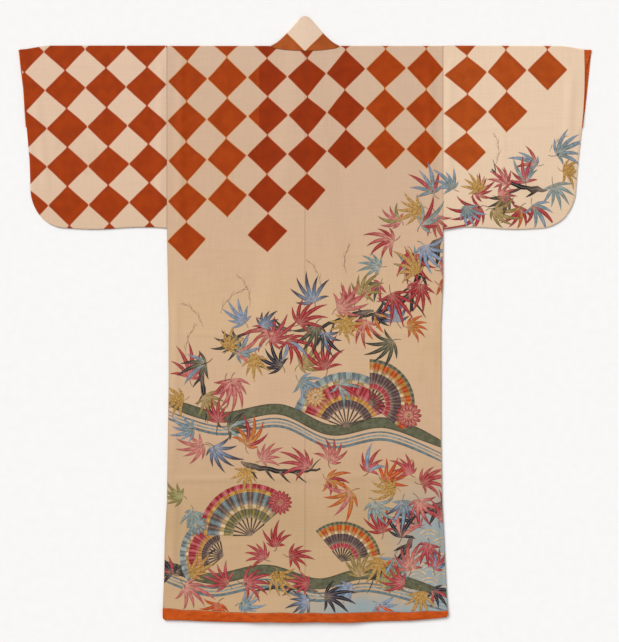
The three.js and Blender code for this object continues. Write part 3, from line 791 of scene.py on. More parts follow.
# %% [markdown]
# ## The sleeves
#
# A sleeve is one width of silk folded at the shoulder and sewn shut below and up its outer edge to
# the wrist opening, with a round corner. Seen from above it is a patch between four edges, so each
# point is blended from them. The upper and the lower cloth meet at the folded and the sewn edges.

# %% Plan of a sleeve
CORNER_U, CORNER_V = 0.72, 0.2  # shares of the lower and the outer edge that aren't round
CORNER_TOP_Y, CUFF_TOP_Y = 304, 625.5


def sleeve_top_y(x):
    return SHOULDER_Y - 9 * smooth(590, REACH, x)


def sleeve_low_y(x):
    return SLEEVE_LOW_Y + 2.6 * math.sin((x - ARMHOLE_X) / 36)


def sleeve_plan(side):
    """The place, seen from above, of a point at shares u out from the armhole and v up."""
    corner_x, corner_wide = CORNERS[side]
    inner = ARMHOLE_X + SEAM_GAP
    outer = CUFF_EDGES[side][-1][1]

    def on_corner(share):
        angle = share * math.pi / 2
        rise = lerp(sleeve_low_y(corner_x), CORNER_TOP_Y, 1 - math.cos(angle))
        return corner_x + corner_wide * math.sin(angle), rise

    def lower(u):
        if u > CORNER_U:
            return on_corner(0.5 * (u - CORNER_U) / (1 - CORNER_U))
        x = lerp(inner, corner_x, u / CORNER_U)
        return x, sleeve_low_y(x)

    def upper(u):
        x = lerp(inner, outer, u)
        return x, sleeve_top_y(x) + u * (CUFF_TOP_Y - sleeve_top_y(outer))

    def armhole(v):
        return inner, lerp(lower(0)[1], upper(0)[1], v)

    def cuff(v):
        if v < CORNER_V:
            return on_corner(0.5 + 0.5 * v / CORNER_V)
        y = lerp(CORNER_TOP_Y, CUFF_TOP_Y, (v - CORNER_V) / (1 - CORNER_V))
        return read(CUFF_EDGES[side], y), y

    def plan(u, v):
        mixed = [
            lerp(lower(u)[k], upper(u)[k], v) + lerp(armhole(v)[k], cuff(v)[k], u)
            - lerp(lerp(lower(0)[k], lower(1)[k], u), lerp(upper(0)[k], upper(1)[k], u), v)
            for k in (0, 1)
        ]
        return SIDES[side] * mixed[0], mixed[1]
    return plan


# %% Sleeves
SLEEVE_LONG, SLEEVE_DEEP = REACH - ARMHOLE_X, SHOULDER_Y - SLEEVE_LOW_Y
EDGE_ROUND = 1.9  # width of a sewn or folded edge, seen from above
WRIST_V = lerp(CORNER_V, 1, (WRIST_LOW_Y - CORNER_TOP_Y) / (CUFF_TOP_Y - CORNER_TOP_Y))


def sleeve_row(side, v, upper):
    plan = sleeve_plan(side)
    opens = smooth(WRIST_V - 0.02, WRIST_V + 0.03, v)

    def row(u):
        x, y = plan(u, v)
        to_cuff = (1 - u) * SLEEVE_LONG + EDGE_ROUND * opens
        inward = min(v * SLEEVE_DEEP, (1 - v) * SLEEVE_DEEP, to_cuff, EDGE_ROUND) / EDGE_ROUND
        share = math.sqrt(1 - (1 - max(inward, 0)) ** 2)
        tall = 2 * CLOTH + LAY_GAP + uneven(x, y)
        z = tall / 2 + (1 if upper else -1) * (tall / 2 - CLOTH / 2) * share
        return (x, y, z), (x, y if upper else 2 * SHOULDER_Y - y)
    return row


sleeves = {}
for side in SIDES:
    bm = start_cloth()
    rising = [share * EDGE_ROUND / SLEEVE_DEEP for share in (0, 0.25, 0.6, 1)]  # close at the edges
    rising += steps(0.015, 0.985, GRID / SLEEVE_DEEP) + [1 - v for v in reversed(rising)]
    for upper, order in ((True, rising), (False, rising[::-1])):
        rows = [sleeve_row(side, v, upper) for v in order]
        lay(bm, round(SLEEVE_LONG / GRID), rows, check_on(f"sleeve_{side}"), seam_on_sleeve)
    name = f"sleeve_width_{side}"
    sleeves[side] = finish_cloth(bm, name, sleeve_silks[side], SILK, f"sleeve_{side}")

# %% [markdown]
# ## The collar
#
# The collar is one straight band, folded double. It is sewn along the back neckline and down both
# fronts, so at the shoulders it has to fold over at a slant, and the part behind the neck stands
# out past the shoulder line as a low triangle.

# %% Collar band
COLLAR_SILK = 1.9  # what is drawn of the doubled band
TIP_ROUND = 3.5  # how far the tip is rounded off
SQUARE = 84  # corner to corner of the collar's own squares
SQUARE_FOOT = 664  # height of the middle of the first one


def fold_point(sign, t):
    """The slanting folded edge, from the shoulder line to the tip."""
    rise = t * (TOP_Y - TIP_ROUND - SHOULDER_Y)
    flare = 12 * math.exp(-rise / 8) - (0.4 if t == 0 else 0)
    return sign * (NECK_HALF - rise / math.tan(FOLD_ANGLE) + flare), SHOULDER_Y + rise


def standing(share):
    def row(t):
        x = fold_point(math.copysign(1, share or 1), t)[0] * abs(share)
        y = lerp(neck_y(x) + SEAM_GAP / 2, TOP_Y - TIP_ROUND * share ** 2, t)
        return (x, y, back_z(x, y) + COLLAR_LIFT), (x, y)
    return row


def collar_turn(side, angle):
    sign = SIDES[side]

    def row(t):
        tilt = FOLD_ANGLE * smooth(0, 0.2, t)
        out_x, out_y = sign * math.sin(tilt), math.cos(tilt)
        x, y = fold_point(sign, t)
        x, y = x - out_x * COLLAR_CLOTH / 2, y - out_y * COLLAR_CLOTH / 2
        inward, z = round_fold(back_z(x, y), front_z(side, x, y), angle)
        return (x - out_x * inward, y - out_y * inward, z + COLLAR_LIFT), (x, y + 2 * angle)
    return row


def hanging(side, seam, free):
    def row(t):
        y = lerp(seam, free, t)
        x = SIDES[side] * -lerp(collar_seam_x(seam), free_x(free), t)
        return (x, y, front_z(side, x, y) + COLLAR_LIFT), (x, y)
    return row


def between(first, second, *shares):
    """Rows that lie between two others, at these shares of the way."""
    def blended(share):
        def row(t):
            (a, a_cut), (b, b_cut) = first(t), second(t)
            return Vector(a).lerp(Vector(b), share), Vector(a_cut).lerp(Vector(b_cut), share)
        return row
    return [blended(share) for share in shares]


def collar_side(side):
    """Rows from the standing part over the slanting fold and down one front."""
    turn = [collar_turn(side, angle) for angle in HALF_TURN]
    falls = [(seam, lerp(seam, TOP_Y, smooth(400, 700, seam))) for seam in steps(612, 479, 7)]
    falls += [(seam, seam - COLLAR_WIDTH * LEAN) for seam in steps(472, -70, 9)]
    falls += [(-100, -107), (COLLAR_END_Y, COLLAR_END_Y - 6)]
    hang = [hanging(side, seam, free) for seam, free in falls]
    last = standing(SIDES[side] * 0.85)
    return between(last, turn[0], 0.3, 0.65) + turn + between(turn[-1], hang[0], 0.35, 0.7) + hang


def check_on_collar(x, y):
    """At the back, a pale square stands on the neckline between two rust ones."""
    half = SQUARE / 2
    across = abs(x) if abs(x) < half else half + (abs(x) - half) * 0.4
    height = y if y < SQUARE_FOOT else SQUARE_FOOT + (y - SQUARE_FOOT) * 0.6
    return 2.5 + math.copysign(across, x) / SQUARE, (height - SQUARE_FOOT) / SQUARE - 0.5


def seam_on_collar(x, y):
    """The seam along the neckline and the pressed edge of the fold, where the silk gets puckers and a
    painted shade line.
    """
    if y < 600 or abs(x) > NECK_X:
        return NO_SEAM
    to_fold = NECK_HALF - (y - SHOULDER_Y) / math.tan(FOLD_ANGLE) - abs(x)
    return min(abs(y - neck_y(x)), max(to_fold, 0), TOP_Y - y)


bm = start_cloth()
middle = [standing(share) for share in steps(-0.85, 0.85, 0.07)]
rows = collar_side("left")[::-1] + middle + collar_side("right")
lay(bm, 16, rows, check_on_collar, seam_on_collar)
collar = finish_cloth(bm, "collar_band", collar_silk, COLLAR_SILK, "collar")

# %% [markdown]
# ## The wrist linings
#
# The orange lining is cut a little larger than the silk outside, and shows as a thin edge in the
# wrist openings. It is a narrow strip that goes up the back of the opening, over the shoulder fold
# and down the front, so its rows are made like those of a body width.

# %% Wrist linings
CUFF_CLOTH, CUFF_SILK = 1.2, 0.8  # thickness of the strip, and what is drawn of it
CUFF_BACK_SHOWS = 2  # how far it stands out at the back


def cuff_rows(side):
    low, high = CUFF_CLOTH / 2, CLOTH + LAY_GAP + CLOTH / 2

    def strip_x(y, wide, t):
        return SIDES[side] * (read(CUFF_EDGES[side], y) + SEAM_GAP + wide * t)

    def flat_row(y, wide, z, along):
        return lambda t: ((strip_x(y, wide, t), y, z), (strip_x(y, wide, t), along))

    def turn(angle):
        def row(t):
            x = strip_x(CUFF_TOP_Y, read(CUFF_SHOWS[side], CUFF_TOP_Y), t)
            inward, z = round_fold(high, low, angle)
            return (x, CUFF_TOP_Y - CUFF_CLOTH / 2 - inward, z), (x, CUFF_TOP_Y + angle)
        return row

    rise = steps(WRIST_LOW_Y, 580, 6)
    up = [flat_row(y, CUFF_BACK_SHOWS, high, y) for y in rise]
    down = [flat_row(y, read(CUFF_SHOWS[side], y), low, 2 * CUFF_TOP_Y - y) for y in rise[::-1]]
    over = [turn(angle) for angle in HALF_TURN]
    joins = (0.2, 0.4, 0.6, 0.8)
    return up + between(up[-1], over[0], *joins) + over + between(over[-1], down[0], *joins) + down


for side in SIDES:
    bm = start_cloth()
    lay(bm, 4, cuff_rows(side))
    name = f"wrist_lining_{side}"
    finish_cloth(bm, name, lining, CUFF_SILK, f"cuff_lining_{side}")

# %% [markdown]
# ## The rolled hem
#
# At the hem the lining is rolled outwards round a little wadding and sewn down by hand, which
# leaves small puckers and rounds the corners off. The roll could be swept along a curve, but a
# grid whose rows go round it can also follow the two different lines of its upper and lower edge.

# %% Rolled hem
CORNER_ROUND = 6
ROLL_GRID = 2.5  # fine enough for the puckers
ROLL_ROWS = 18
ROLL_SKIN = 0.15  # the roll is drawn this much flatter than its solid, above and below


def hem_roll(name, node, start, end, level):
    """A padded roll from one x to another. Each row of its grid runs the length of the hem, and
    the rows go round it, so the first and the last one meet."""
    def row_at(angle):
        def row(u):
            x = lerp(start, end, u)
            to_end = max(0, min((x - start) / CORNER_ROUND, (end - x) / CORNER_ROUND, 1))
            round_off = CORNER_ROUND * (1 - math.sqrt(1 - (1 - to_end) ** 2))
            y_top = hem_top(x) - SEAM_GAP
            y_low = read(HEM_LOW, x) + round_off + 0.5 + 0.5 * math.sin(x / 23 + math.sin(x / 61))
            pull = 0.3 * math.sin(x / 4.1 + 2.2 * math.sin(x / 31)) + 0.3 * math.sin(x / 11 + 3)
            pucker = pull * math.sin(angle) ** 2
            out = math.copysign(abs(math.cos(angle)) ** 0.55, math.cos(angle))
            up = math.copysign(abs(math.sin(angle)) ** 0.75, math.sin(angle))
            z = level(x, HEM_Y) + HEM_ROLL / 2 + (HEM_ROLL / 2 - ROLL_SKIN) * up
            z += pucker if up > 0 else 0
            return (x, lerp(y_low, y_top, (1 - out) / 2), z), (x, y_low + 12 * angle)
        return row

    bm = start_cloth()
    rows = [row_at(2 * math.pi * i / ROLL_ROWS) for i in range(ROLL_ROWS + 1)]
    lay(bm, round((end - start) / ROLL_GRID), rows)
    bmesh.ops.remove_doubles(bm, verts=bm.verts, dist=WELD)
    bmesh.ops.holes_fill(bm, edges=[edge for edge in bm.edges if edge.is_boundary])
    finish_cloth(bm, name, lining, 0, node)


LEFT_END, RIGHT_END = -329.8, 331.2
hem_roll("hem_of_back", "hem_back", LEFT_END, RIGHT_END, under_back)
hem_roll("hem_of_left_front", "hem_front_left", LEFT_END, FREE_EDGE_X, lambda x, y: 0)
hem_roll("hem_of_right_front", "hem_front_right", -FREE_EDGE_X, RIGHT_END, front_room)

# %% [markdown]
# ## Motifs over the lower body
#
# The lower body and the right sleeve carry ordinary dyed motifs in a free layout: clusters of
# palm-shaped leaves, short knotty twigs, open fans, round blossoms and streams of water. They lie
# a hair above the silk and follow its creases, so they need to know how high it is at any place. A
# ray dropped straight down on each cloth tells that.

# %% The top of the cloth at any place
LOOK_ASIDE = 2  # also looks this far round a place, for a crease beside it
TOPS = []
for piece in [*bodies.values(), *sleeves.values()]:
    points = [vertex.co for vertex in piece.data.vertices]
    TOPS.append(BVHTree.FromPolygons(points, [face.vertices for face in piece.data.polygons]))


def height_at(place, aside=(0, 0)):
    """Height of the uppermost silk over a place moved aside by so much, or None past its edge."""
    above = Vector((place.x + aside[0] * MM, place.y + aside[1] * MM, 0.1))
    hits = [tree.ray_cast(above, Vector((0, 0, -1)))[0] for tree in TOPS]
    return max((hit.z for hit in hits if hit), default=None)


def top_of_cloth(place):
    """The highest silk at a place and close round it, so that no crease stands through what is
    laid there. A place in a seam still counts as cloth, and one beside the robe gives None."""
    if all(height_at(place, (aside, 0)) is None for aside in (0, 0.6, -0.6)):
        return None
    round_it = ((0, 0), (LOOK_ASIDE, 0), (-LOOK_ASIDE, 0), (0, LOOK_ASIDE), (0, -LOOK_ASIDE))
    heights = [height_at(place, aside) for aside in round_it]
    return max((height for height in heights if height is not None), default=None)


def within_robe(x, y):
    """The nearest place that a drawing may reach: up to the side seams and the hem."""
    if y < SLEEVE_LOW_Y + 4 and abs(x) < ARMHOLE_X + 40:
        side = "left" if x < 0 else "right"
        x = math.copysign(min(abs(x), body_half(side, y) - 1.0), x)
    elif abs(x) > ARMHOLE_X:
        y = max(y, sleeve_low_y(abs(x)) + 1.5)
    return x, max(y, hem_top(x) + 1.5)


def lay_drawing(bm, name, material):
    """Ends a drawing at the side seams and the hem, and lays it down on the silk."""
    bmesh.ops.remove_doubles(bm, verts=bm.verts, dist=0.01 * MM)
    moved, heights = set(), {}
    for point in bm.verts:
        x, y = within_robe(point.co.x / MM, point.co.y / MM)
        if math.hypot(x - point.co.x / MM, y - point.co.y / MM) > 0.01:
            moved.add(point)
            point.co.x, point.co.y = x * MM, y * MM
        heights[point] = top_of_cloth(point.co)
    beside = [face for face in bm.faces
              if all(p in moved for p in face.verts) or any(heights[p] is None for p in face.verts)]
    bmesh.ops.delete(bm, geom=beside, context="FACES")
    bmesh.ops.dissolve_degenerate(bm, dist=0.01 * MM, edges=bm.edges)
    for point in bm.verts:
        point.co.z += heights[point] if point in heights else top_of_cloth(point.co) or 0
    finish_cloth(bm, name, material, 0)


print("Silk at the middle of the back:", round(height_at(Vector((0.1, 0.1, 0))) / MM, 2), "mm up")

# %% [markdown]
# ## Motifs from strips of dye
#
# Every motif is put together from one form: a narrow grid along a bent spine, with a width at each
# point of it. A finger of a leaf, a petal, a knotty twig, a fold of a fan and running water are all
# such strips. They could be drawn in an image and wrapped on, but strips stay sharp close up, and
# each carries its dye as a colour at its corners and its own place across and along in a UV map.

# %% Drawing with strips
DYES = {
    "crimson": "#a42a34", "rose": "#b9545a", "pink": "#cd8478", "orange": "#c44c14",
    "amber": "#bd7f37", "sky": "#8495ae", "teal": "#768d8e", "mist": "#97a3a0",
    "indigo": "#24263c", "ink": "#25252a", "olive": "#85763f", "moss": "#66664f",
    "tan": "#a98d58", "umber": "#67534a", "cream": "#d6b890", "green": "#96935a",
    "gold": "#c9983f", "slate": "#6f7f84", "plum": "#57424a",
}


def start_drawing():
    bm = bmesh.new()
    bm.loops.layers.uv.new("stroke")
    bm.loops.layers.float_color.new("dye")
    return bm


def strip(bm, spine, widths, dyes, level, across=2, veined=1):
    """A leaf, petal, twig or stream: a grid laid along a spine, changing from one dye to another.
    Its height above the silk is kept in Z until it is laid down. Veined is 1 for a stroke with a
    pale vein and a dark rim, and 0 for an even one."""
    last = len(spine) - 1
    first, second = (Vector(colour(DYES[dye])[:3]) for dye in dyes)
    made = bmesh.ops.create_grid(bm, x_segments=across, y_segments=last, size=0.5)["verts"]
    uv_of, dye_of = {}, {}
    for point in made:
        i, side = round((point.co.y + 0.5) * last), point.co.x * 2
        before, after = spine[max(i - 1, 0)], spine[min(i + 1, last)]
        dx, dy = after[0] - before[0], after[1] - before[1]
        long = math.hypot(dx, dy) or 1
        out = side * widths[i] / 2
        uv_of[point] = (side, i / last)
        dye_of[point] = (*first.lerp(second, smooth(0.1, 0.9, i / last)), veined)
        x, y = spine[i]
        point.co = Vector((x - dy / long * out, y + dx / long * out, level)) * MM
    stroke, dye = bm.loops.layers.uv["stroke"], bm.loops.layers.float_color["dye"]
    for face in {face for point in made for face in point.link_faces}:
        for loop in face.loops:
            loop[stroke].uv = uv_of[loop.vert]
            loop[dye] = dye_of[loop.vert]


def away(x, y, distance, heading):
    """The place at a distance from another. The heading is in degrees."""
    angle = math.radians(heading)
    return x + distance * math.cos(angle), y + distance * math.sin(angle)


def curved(x, y, heading, length, bend, count):
    """Points along a smooth bend. Heading and bend are in degrees."""
    points = [(x, y)]
    for i in range(count):
        points.append(away(*points[-1], length / count, heading + bend * (i + 0.5) / count))
    return points


# %% Leaves and blossoms
LEAF_WIDTHS = [0.2, 0.66, 0.96, 1.0, 0.78, 0.42, 0.0]
FINGERS = ((0, 1), (19, 0.96), (-20, 0.9), (41, 0.82), (-43, 0.74), (68, 0.56), (-74, 0.42))


def palm_leaf(bm, x, y, heading, size, dyes, level, chance, other=None):
    """Seven slender fingers from one point, the middle one longest, all swept the same way. Some
    leaves have a second pair of dyes on every third finger."""
    sweep = chance.choice((-1, 1)) * chance.uniform(22, 64)
    for number, (turn, share) in enumerate(FINGERS):
        long = size * share * chance.uniform(0.8, 1.15)
        spine = curved(x, y, heading + turn - sweep / 2, long, sweep + turn * 0.2, 6)
        wide = 4.6 + long * 0.058
        pair = other if other and number % 3 == 1 else dyes
        strip(bm, spine, [wide * w for w in LEAF_WIDTHS], pair, level)
    stalk = curved(x, y, heading + 180, size * 0.25, sweep, 3)
    strip(bm, stalk, [1.6, 1.3, 1.2, 0.9], (dyes[1], "umber"), level - 0.03)


def blossom(bm, x, y, radius, petals, dyes, level, chance):
    """A round blossom in two rings of petals with a dotted heart."""
    tilt = chance.uniform(0, 360)
    for ring, (start, end) in enumerate(((0.42, 1.0), (0.14, 0.62))):
        wide = 2 * math.pi * radius * (start + end) / 2 / petals * 0.92
        widths = [wide * w for w in (0.55, 0.85, 1, 0.9, 0.35)]
        for k in range(petals):
            heading = tilt + 360 * (k + ring / 2) / petals
            foot = away(x, y, radius * start, heading)
            spine = curved(*foot, heading, radius * (end - start), 8, 4)
            strip(bm, spine, widths, dyes, level + ring * 0.04)
    heart = curved(x - radius * 0.16, y, 0, radius * 0.32, 0, 4)
    widths = [radius * 0.32 * w for w in (0.3, 0.85, 1, 0.85, 0.3)]
    strip(bm, heart, widths, ("amber", "olive"), level + 0.1)


# %% Twigs and fine brush lines
LINE_STEPS = 12


def twig(bm, x, y, heading, length, width, bend, level, chance):
    """A knotty twig that thins towards its end, with a few spurs."""
    count = max(6, round(length / 12))
    spine = curved(x, y, heading, length, bend, count)
    spine = [(px + chance.uniform(-2, 2), py + chance.uniform(-2, 2)) for px, py in spine]
    widths = [width * (1 - 0.75 * i / count) * min(1, 0.3 + 0.35 * i) * chance.uniform(0.75, 1.2)
              for i in range(count + 1)]
    strip(bm, spine, widths, ("ink", "ink"), level)
    for i in range(2, count, 3):
        side = chance.choice((-1, 1))
        spur = curved(*spine[i], heading + bend * i / count + side * 55, width * 2.4, side * -25, 3)
        strip(bm, spur, [widths[i] * w for w in (0.8, 0.55, 0.4, 0.1)], ("ink", "ink"), level - 0.02)


def brush_line(bm, x, y, heading, length, bend, level):
    """A fine brush outline of an unpainted spray."""
    spine = curved(x, y, heading, length, bend, LINE_STEPS)
    strip(bm, spine, [0.6] * (LINE_STEPS + 1), ("umber", "umber"), level)
    for i in range(2, LINE_STEPS, 2):
        side = 1 if i % 4 else -1
        aim = heading + bend * i / LINE_STEPS + side * 34
        strip(bm, curved(*spine[i], aim, length * 0.2, side * -40, 3), [0.6, 0.6, 0.5, 0.2],
              ("umber", "tan"), level)


# %% Fans and water
FAN_FOLDS, FAN_INNER, FAN_STEPS = 18, 0.34, 7
STREAM_STEPS = 28  # short enough to follow the creases


def fan(bm, x, y, radius, start, spread, bands, level):
    """An open folding fan. Each of its folds is a narrow wedge, and bands run across them:
    a band is (outer share of the radius, dye of the light folds, dye of the dark folds)."""
    edges = [FAN_INNER, *(band[0] for band in bands)]
    wide = math.radians(spread / FAN_FOLDS) * 1.04
    for low, (high, light, dark) in zip(edges, bands):
        along = [radius * lerp(low, high, i / (FAN_STEPS - 1)) for i in range(FAN_STEPS)]
        for k in range(FAN_FOLDS):
            heading = start + spread * (k + 0.5) / FAN_FOLDS
            dye = light if k % 2 else dark
            spine = [away(x, y, r, heading) for r in along]
            strip(bm, spine, [wide * r for r in along], (dye, dye), level, across=4)
    for k in range(0, FAN_FOLDS + 1, 2):
        rib = curved(x, y, start + spread * k / FAN_FOLDS, radius * FAN_INNER, 0, 2)
        strip(bm, rib, [2.2, 2.6, 3.4], ("umber", "ink"), level + 0.02)


def stream(bm, points, width, dye, level):
    """Flowing water: a smooth band through some points, thinner at its ends."""
    spine = []
    for i in range(len(points) - 1):
        p = [points[max(i - 1, 0)], points[i], points[i + 1], points[min(i + 2, len(points) - 1)]]
        for step in range(STREAM_STEPS):
            t = step / STREAM_STEPS
            spine.append(tuple(0.5 * (2 * p[1][k] + (p[2][k] - p[0][k]) * t
                         + (2 * p[0][k] - 5 * p[1][k] + 4 * p[2][k] - p[3][k]) * t * t
                         + (3 * p[1][k] - p[0][k] - 3 * p[2][k] + p[3][k]) * t ** 3) for k in (0, 1)))
    spine.append(points[-1])
    last = len(spine) - 1
    widths = [width * min(1, 0.35 + 6 * min(i, last - i) / last) for i in range(last + 1)]
    strip(bm, spine, widths, (dye, dye), level, max(2, round(width / 3.5)), veined=0)


# %% [markdown]
# ## Dyes and gold thread
#
# The dyer brushed each motif with a paler heart and let the dye dry darker along its rim. Over
# some leaves gold-wrapped thread was laid in rows and sewn down. One material serves every dye,
# because its colour comes from the strips themselves, and the gold has a material of its own.

# %% Dyes and gold thread
def painted_dye(name):
    """Dye brushed on silk: to the eye matt, paler at the heart, darker where it dried at the rim."""
    material, shader, add = new_material(name)
    side, along, _ = add("SeparateXYZ", add("UVMap", uv_map="stroke"), out=None)
    side = add("Math ABSOLUTE", side)
    painted = add("Attribute", out=None, attribute_name="dye")
    shade, veined = painted["Color"], painted["Alpha"]
    place = add("TexCoord", out="Object")
    threads = weave(add, place)
    blotch = add("TexNoise", place, Scale=120.0, Detail=3.0)
    for over, start, end, share, pale in ((along, 0.4, 0.0, 0.26, "#e3c2a4"),
                                          (side, 0.2, 0.05, 0.24, "#e6cdb0")):
        part = add("Math MULTIPLY", add("MapRange SMOOTHSTEP", over, start, end), share)
        shade = add("Mix MIX", add("Math MULTIPLY", part, veined), shade, pale)
    rim = add("Math MULTIPLY", add("MapRange SMOOTHSTEP", side, 0.62, 0.98), 0.42)
    shade = add("Mix MIX", rim, shade, add("Mix MULTIPLY", 1.0, shade, "#8e6a62"))
    mottled = add("ValToRGB EASE", blotch, stops=[(0.3, "#d6d0c8"), (0.7, "#ffffff")])
    shade = add("Mix MULTIPLY", 1.0, shade, mottled)
    shade = add("Mix MULTIPLY", 1.0, shade, add("Math MULTIPLY_ADD", threads, 0.4, 0.8))
    return finish_surface(material, shader, add, threads, strength=0.5, depth=0.4, Base_Color=shade,
                          Roughness=0.66, Specular_IOR_Level=0.12, Sheen_Weight=0.03)


def gold_thread(name):
    """Gold-wrapped thread couched in rows, with a painted glint on each row and painted shade between the
    rows, over its own metal gloss.
    """
    material, shader, add = new_material(name)
    side = add("Math ABSOLUTE", add("SeparateXYZ", add("UVMap", uv_map="stroke")))
    place = add("TexCoord", out="Object")
    rows = add("TexWave", place, out="Fac", Scale=170.0, Distortion=5.0, Detail=2.0, Detail_Scale=2.0)
    wear_and_hollow_shade = add("TexNoise", place, Scale=210.0, Detail=3.0)
    relief_and_painted_glint = add("Math MULTIPLY_ADD", rows, 0.45, add("Math MULTIPLY", wear_and_hollow_shade, 0.6))
    # Painted glint and shade: lighter where the thread stands up, darker between the rows
    shade = add("ValToRGB EASE", relief_and_painted_glint, stops=[(0.22, "#744a1c"), (0.45, "#ab7a2f"), (0.62, "#c9984a"),
                                             (0.8, "#e2bd78")])
    rim = add("Math MULTIPLY", add("MapRange SMOOTHSTEP", side, 0.7, 1.0), 0.45)
    shade = add("Mix MIX", rim, shade, "#7a4a1c")
    return finish_surface(material, shader, add, relief_and_painted_glint, strength=0.9, depth=0.7, Base_Color=shade,
                          Metallic=0.35, Roughness=add("Math MULTIPLY_ADD", wear_and_hollow_shade, 0.3, 0.3))


dyed_material = painted_dye("dye brushed on silk")
gold_material = gold_thread("couched gold thread")

# %% [markdown]
# ## Where the leaves go
#
# Sprays of leaves come in over the right sleeve, go down the right side, cross to the left and come
# back to the hem. They sit in clusters with open silk between them, as a dyer leaves it. A seeded
# generator gives each leaf its heading, size and dye, so the drawing is the same at every run.

# %% Clusters of leaves
CLUSTERS = [  # middle, number of leaves and how far they spread
    (570, 348, 4, 36), (496, 290, 5, 42), (424, 276, 4, 38), (364, 288, 3, 30),
    (292, 268, 3, 30), (240, 190, 5, 44), (290, 96, 4, 38), (204, 92, 5, 46), (134, 26, 5, 42),
    (218, -24, 3, 32), (50, 4, 5, 46), (-40, -30, 3, 32), (-112, -44, 5, 46), (-184, -108, 5, 46),
    (-30, -116, 3, 32), (62, -128, 2, 28), (-262, -166, 3, 34), (-214, -266, 5, 46),
    (-128, -326, 3, 36), (36, -352, 3, 36), (146, -384, 4, 42), (246, -396, 5, 46),
    (288, -486, 3, 36), (196, -524, 4, 42), (150, -622, 4, 44), (268, -606, 5, 42),
    (26, -636, 3, 36), (-66, -560, 4, 42), (-170, -636, 4, 42), (-286, -596, 3, 32),
    (-276, -424, 2, 30),
]
SPRAY_DYES = [("pink", "crimson"), ("rose", "crimson"), ("crimson", "crimson"), ("pink", "rose"),
              ("sky", "sky"), ("mist", "teal"), ("teal", "sky"), ("amber", "orange"),
              ("orange", "orange"), ("moss", "ink"), ("indigo", "ink"), ("sky", "indigo"),
              ("green", "olive"), ("tan", "olive"), ("crimson", "rose"), ("rose", "crimson"),
              ("pink", "crimson"), ("crimson", "crimson")]
GOLD_EVERY = 8  # every so many leaves one is of gold thread
chance = random.Random(11)

leaves, gold, details = start_drawing(), start_drawing(), start_drawing()
placed = 0
for x, y, count, spread in CLUSTERS:
    start = chance.uniform(0, 360)
    for k in range(count):
        aim = start + 360 * k / count + chance.uniform(-25, 25)
        place = away(x, y, spread * chance.uniform(0.55, 1.0), aim)
        placed += 1
        size = chance.uniform(52, 86)
        heading = aim + chance.uniform(-45, 45)
        level = 0.4 + 0.012 * (placed % 30)  # each leaf a hair above the last
        pair = chance.choice(SPRAY_DYES)
        other = chance.choice(SPRAY_DYES) if chance.random() < 0.3 else None
        if placed % GOLD_EVERY == 3:
            palm_leaf(gold, *place, heading, size * 0.9, ("gold", "gold"), level + 0.1, chance)
        else:
            palm_leaf(leaves, *place, heading, size, pair, level, chance, other)
print(placed, "leaves in", len(CLUSTERS), "clusters")

# %% [markdown]
# ## Twigs, fans, blossoms and water
#
# The remaining motifs are few, so each has its place in a short list. Fine brush lines stand for
# sprays that the dyer drew and left unpainted, and pale wave scales stand on the blue-grey wash.

# %% Twigs, fine brush lines, blossoms, fans and water
for place in (  # x, y, heading, length, width, bend
        (320, 190, 222, 190, 22, 50), (262, 80, 230, 150, 19, -40), (160, 20, 186, 170, 16, 30),
        (-30, -24, 170, 160, 13, 40), (-236, -110, 262, 150, 13, 50), (-150, -330, -20, 190, 15, 30),
        (322, -420, 215, 120, 19, -40), (250, -500, 250, 150, 16, -50), (30, -630, 165, 150, 12, 30),
        (560, 300, 180, 140, 14, -40), (-322, -590, 12, 130, 15, 30)):
    twig(details, *place, 0.3, chance)
for place in (  # x, y, heading, length, bend
        (-236, -20, 100, 80, 60), (-196, 14, 76, 92, -70), (-128, 30, 82, 84, 60),
        (-276, -84, 96, 80, -50), (36, 66, 84, 84, 60), (96, 108, 112, 70, -60),
        (-170, -400, 250, 80, 60), (70, -230, 80, 80, 50), (440, 356, 62, 80, 60),
        (566, 388, 70, 60, -60)):
    brush_line(details, *place, 0.24)
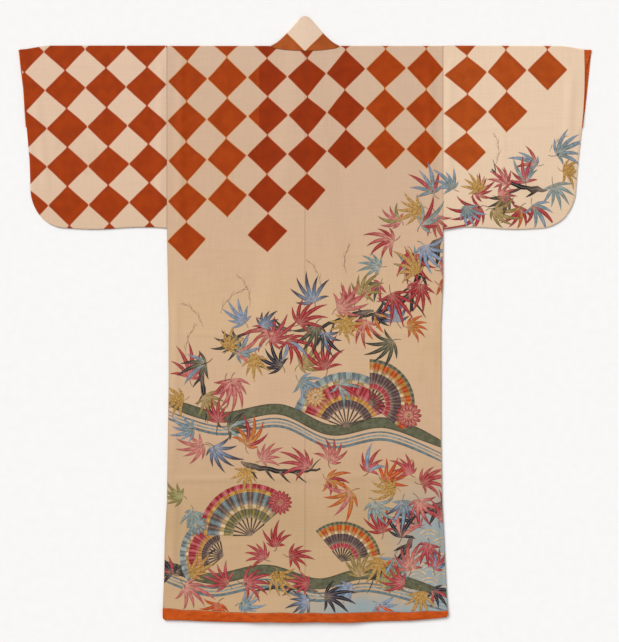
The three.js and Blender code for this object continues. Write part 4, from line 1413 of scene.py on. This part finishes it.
FAN_BANDS = [
    [(0.5, "umber", "plum"), (0.57, "amber", "gold"), (0.8, "crimson", "rose"),
     (0.86, "cream", "tan"), (1.0, "slate", "mist")],
    [(0.46, "crimson", "rose"), (0.7, "umber", "plum"), (0.76, "cream", "tan"),
     (0.92, "amber", "orange"), (1.0, "moss", "moss")],
    [(0.52, "olive", "moss"), (0.6, "cream", "tan"), (0.84, "slate", "umber"),
     (0.9, "gold", "amber"), (1.0, "crimson", "rose")],
]
for x, y, radius, start, spread, bands in (
        (96, -250, 128, 22, 138, 0), (150, -196, 104, -38, 128, 1), (-126, -500, 120, 40, 140, 2),
        (-190, -548, 100, 100, 120, 0), (84, -560, 92, 10, 120, 1)):
    fan(details, x, y, radius, start, spread, FAN_BANDS[bands], 0.28 + 0.03 * (bands + 1))
for x, y, radius, petals, dyes in (
        (240, -222, 30, 14, ("pink", "crimson")), (-58, -424, 28, 16, ("rose", "crimson")),
        (-250, -476, 24, 12, ("mist", "slate")), (24, -180, 24, 14, ("cream", "amber"))):
    blossom(details, x, y, radius, petals, dyes, 0.6, chance)
for points in (
        [(-340, -182), (-200, -226), (-60, -208), (60, -256), (190, -240), (340, -300)],
        [(-340, -560), (-220, -600), (-90, -580), (30, -612), (150, -590), (340, -640)]):
    for drop, width, dye in ((0, 25, "moss"), (-22, 3.5, "slate"), (-30, 3.5, "mist"), (-39, 6, "slate")):
        stream(details, [(x, y + drop) for x, y in points], width, dye, 0.2)

# %% Wave scales, and laying the motifs down
SCALE_RADIUS = 30
SCALES_FROM, SCALES_TO = (168, -664), 325  # lower left one, and where they end on the right
for row in range(9):
    for k in range(6):
        x = SCALES_FROM[0] + SCALE_RADIUS * (2 * k + row % 2)
        y = SCALES_FROM[1] + SCALE_RADIUS * 0.62 * row
        if x > SCALES_TO or x < 170 + 14 * row:
            continue
        for share in (0.94, 0.66, 0.38):
            arc = [away(x, y, SCALE_RADIUS * share, heading) for heading in range(38, 143, 13)]
            strip(details, arc, [3.4 * share + 0.6] * len(arc), ("cream", "cream"), 0.1, veined=0)

lay_drawing(leaves, "dyed_leaves", dyed_material)
lay_drawing(details, "dyed_fans_and_water", dyed_material)
lay_drawing(gold, "gold_leaves", gold_material)

# %% [markdown]
# ## Sheets of cloth
#
# No piece is stated here as a sheet of cloth, and no size of a flat cut is given.

# %% Sheets of cloth
print("No sheets of cloth stated")
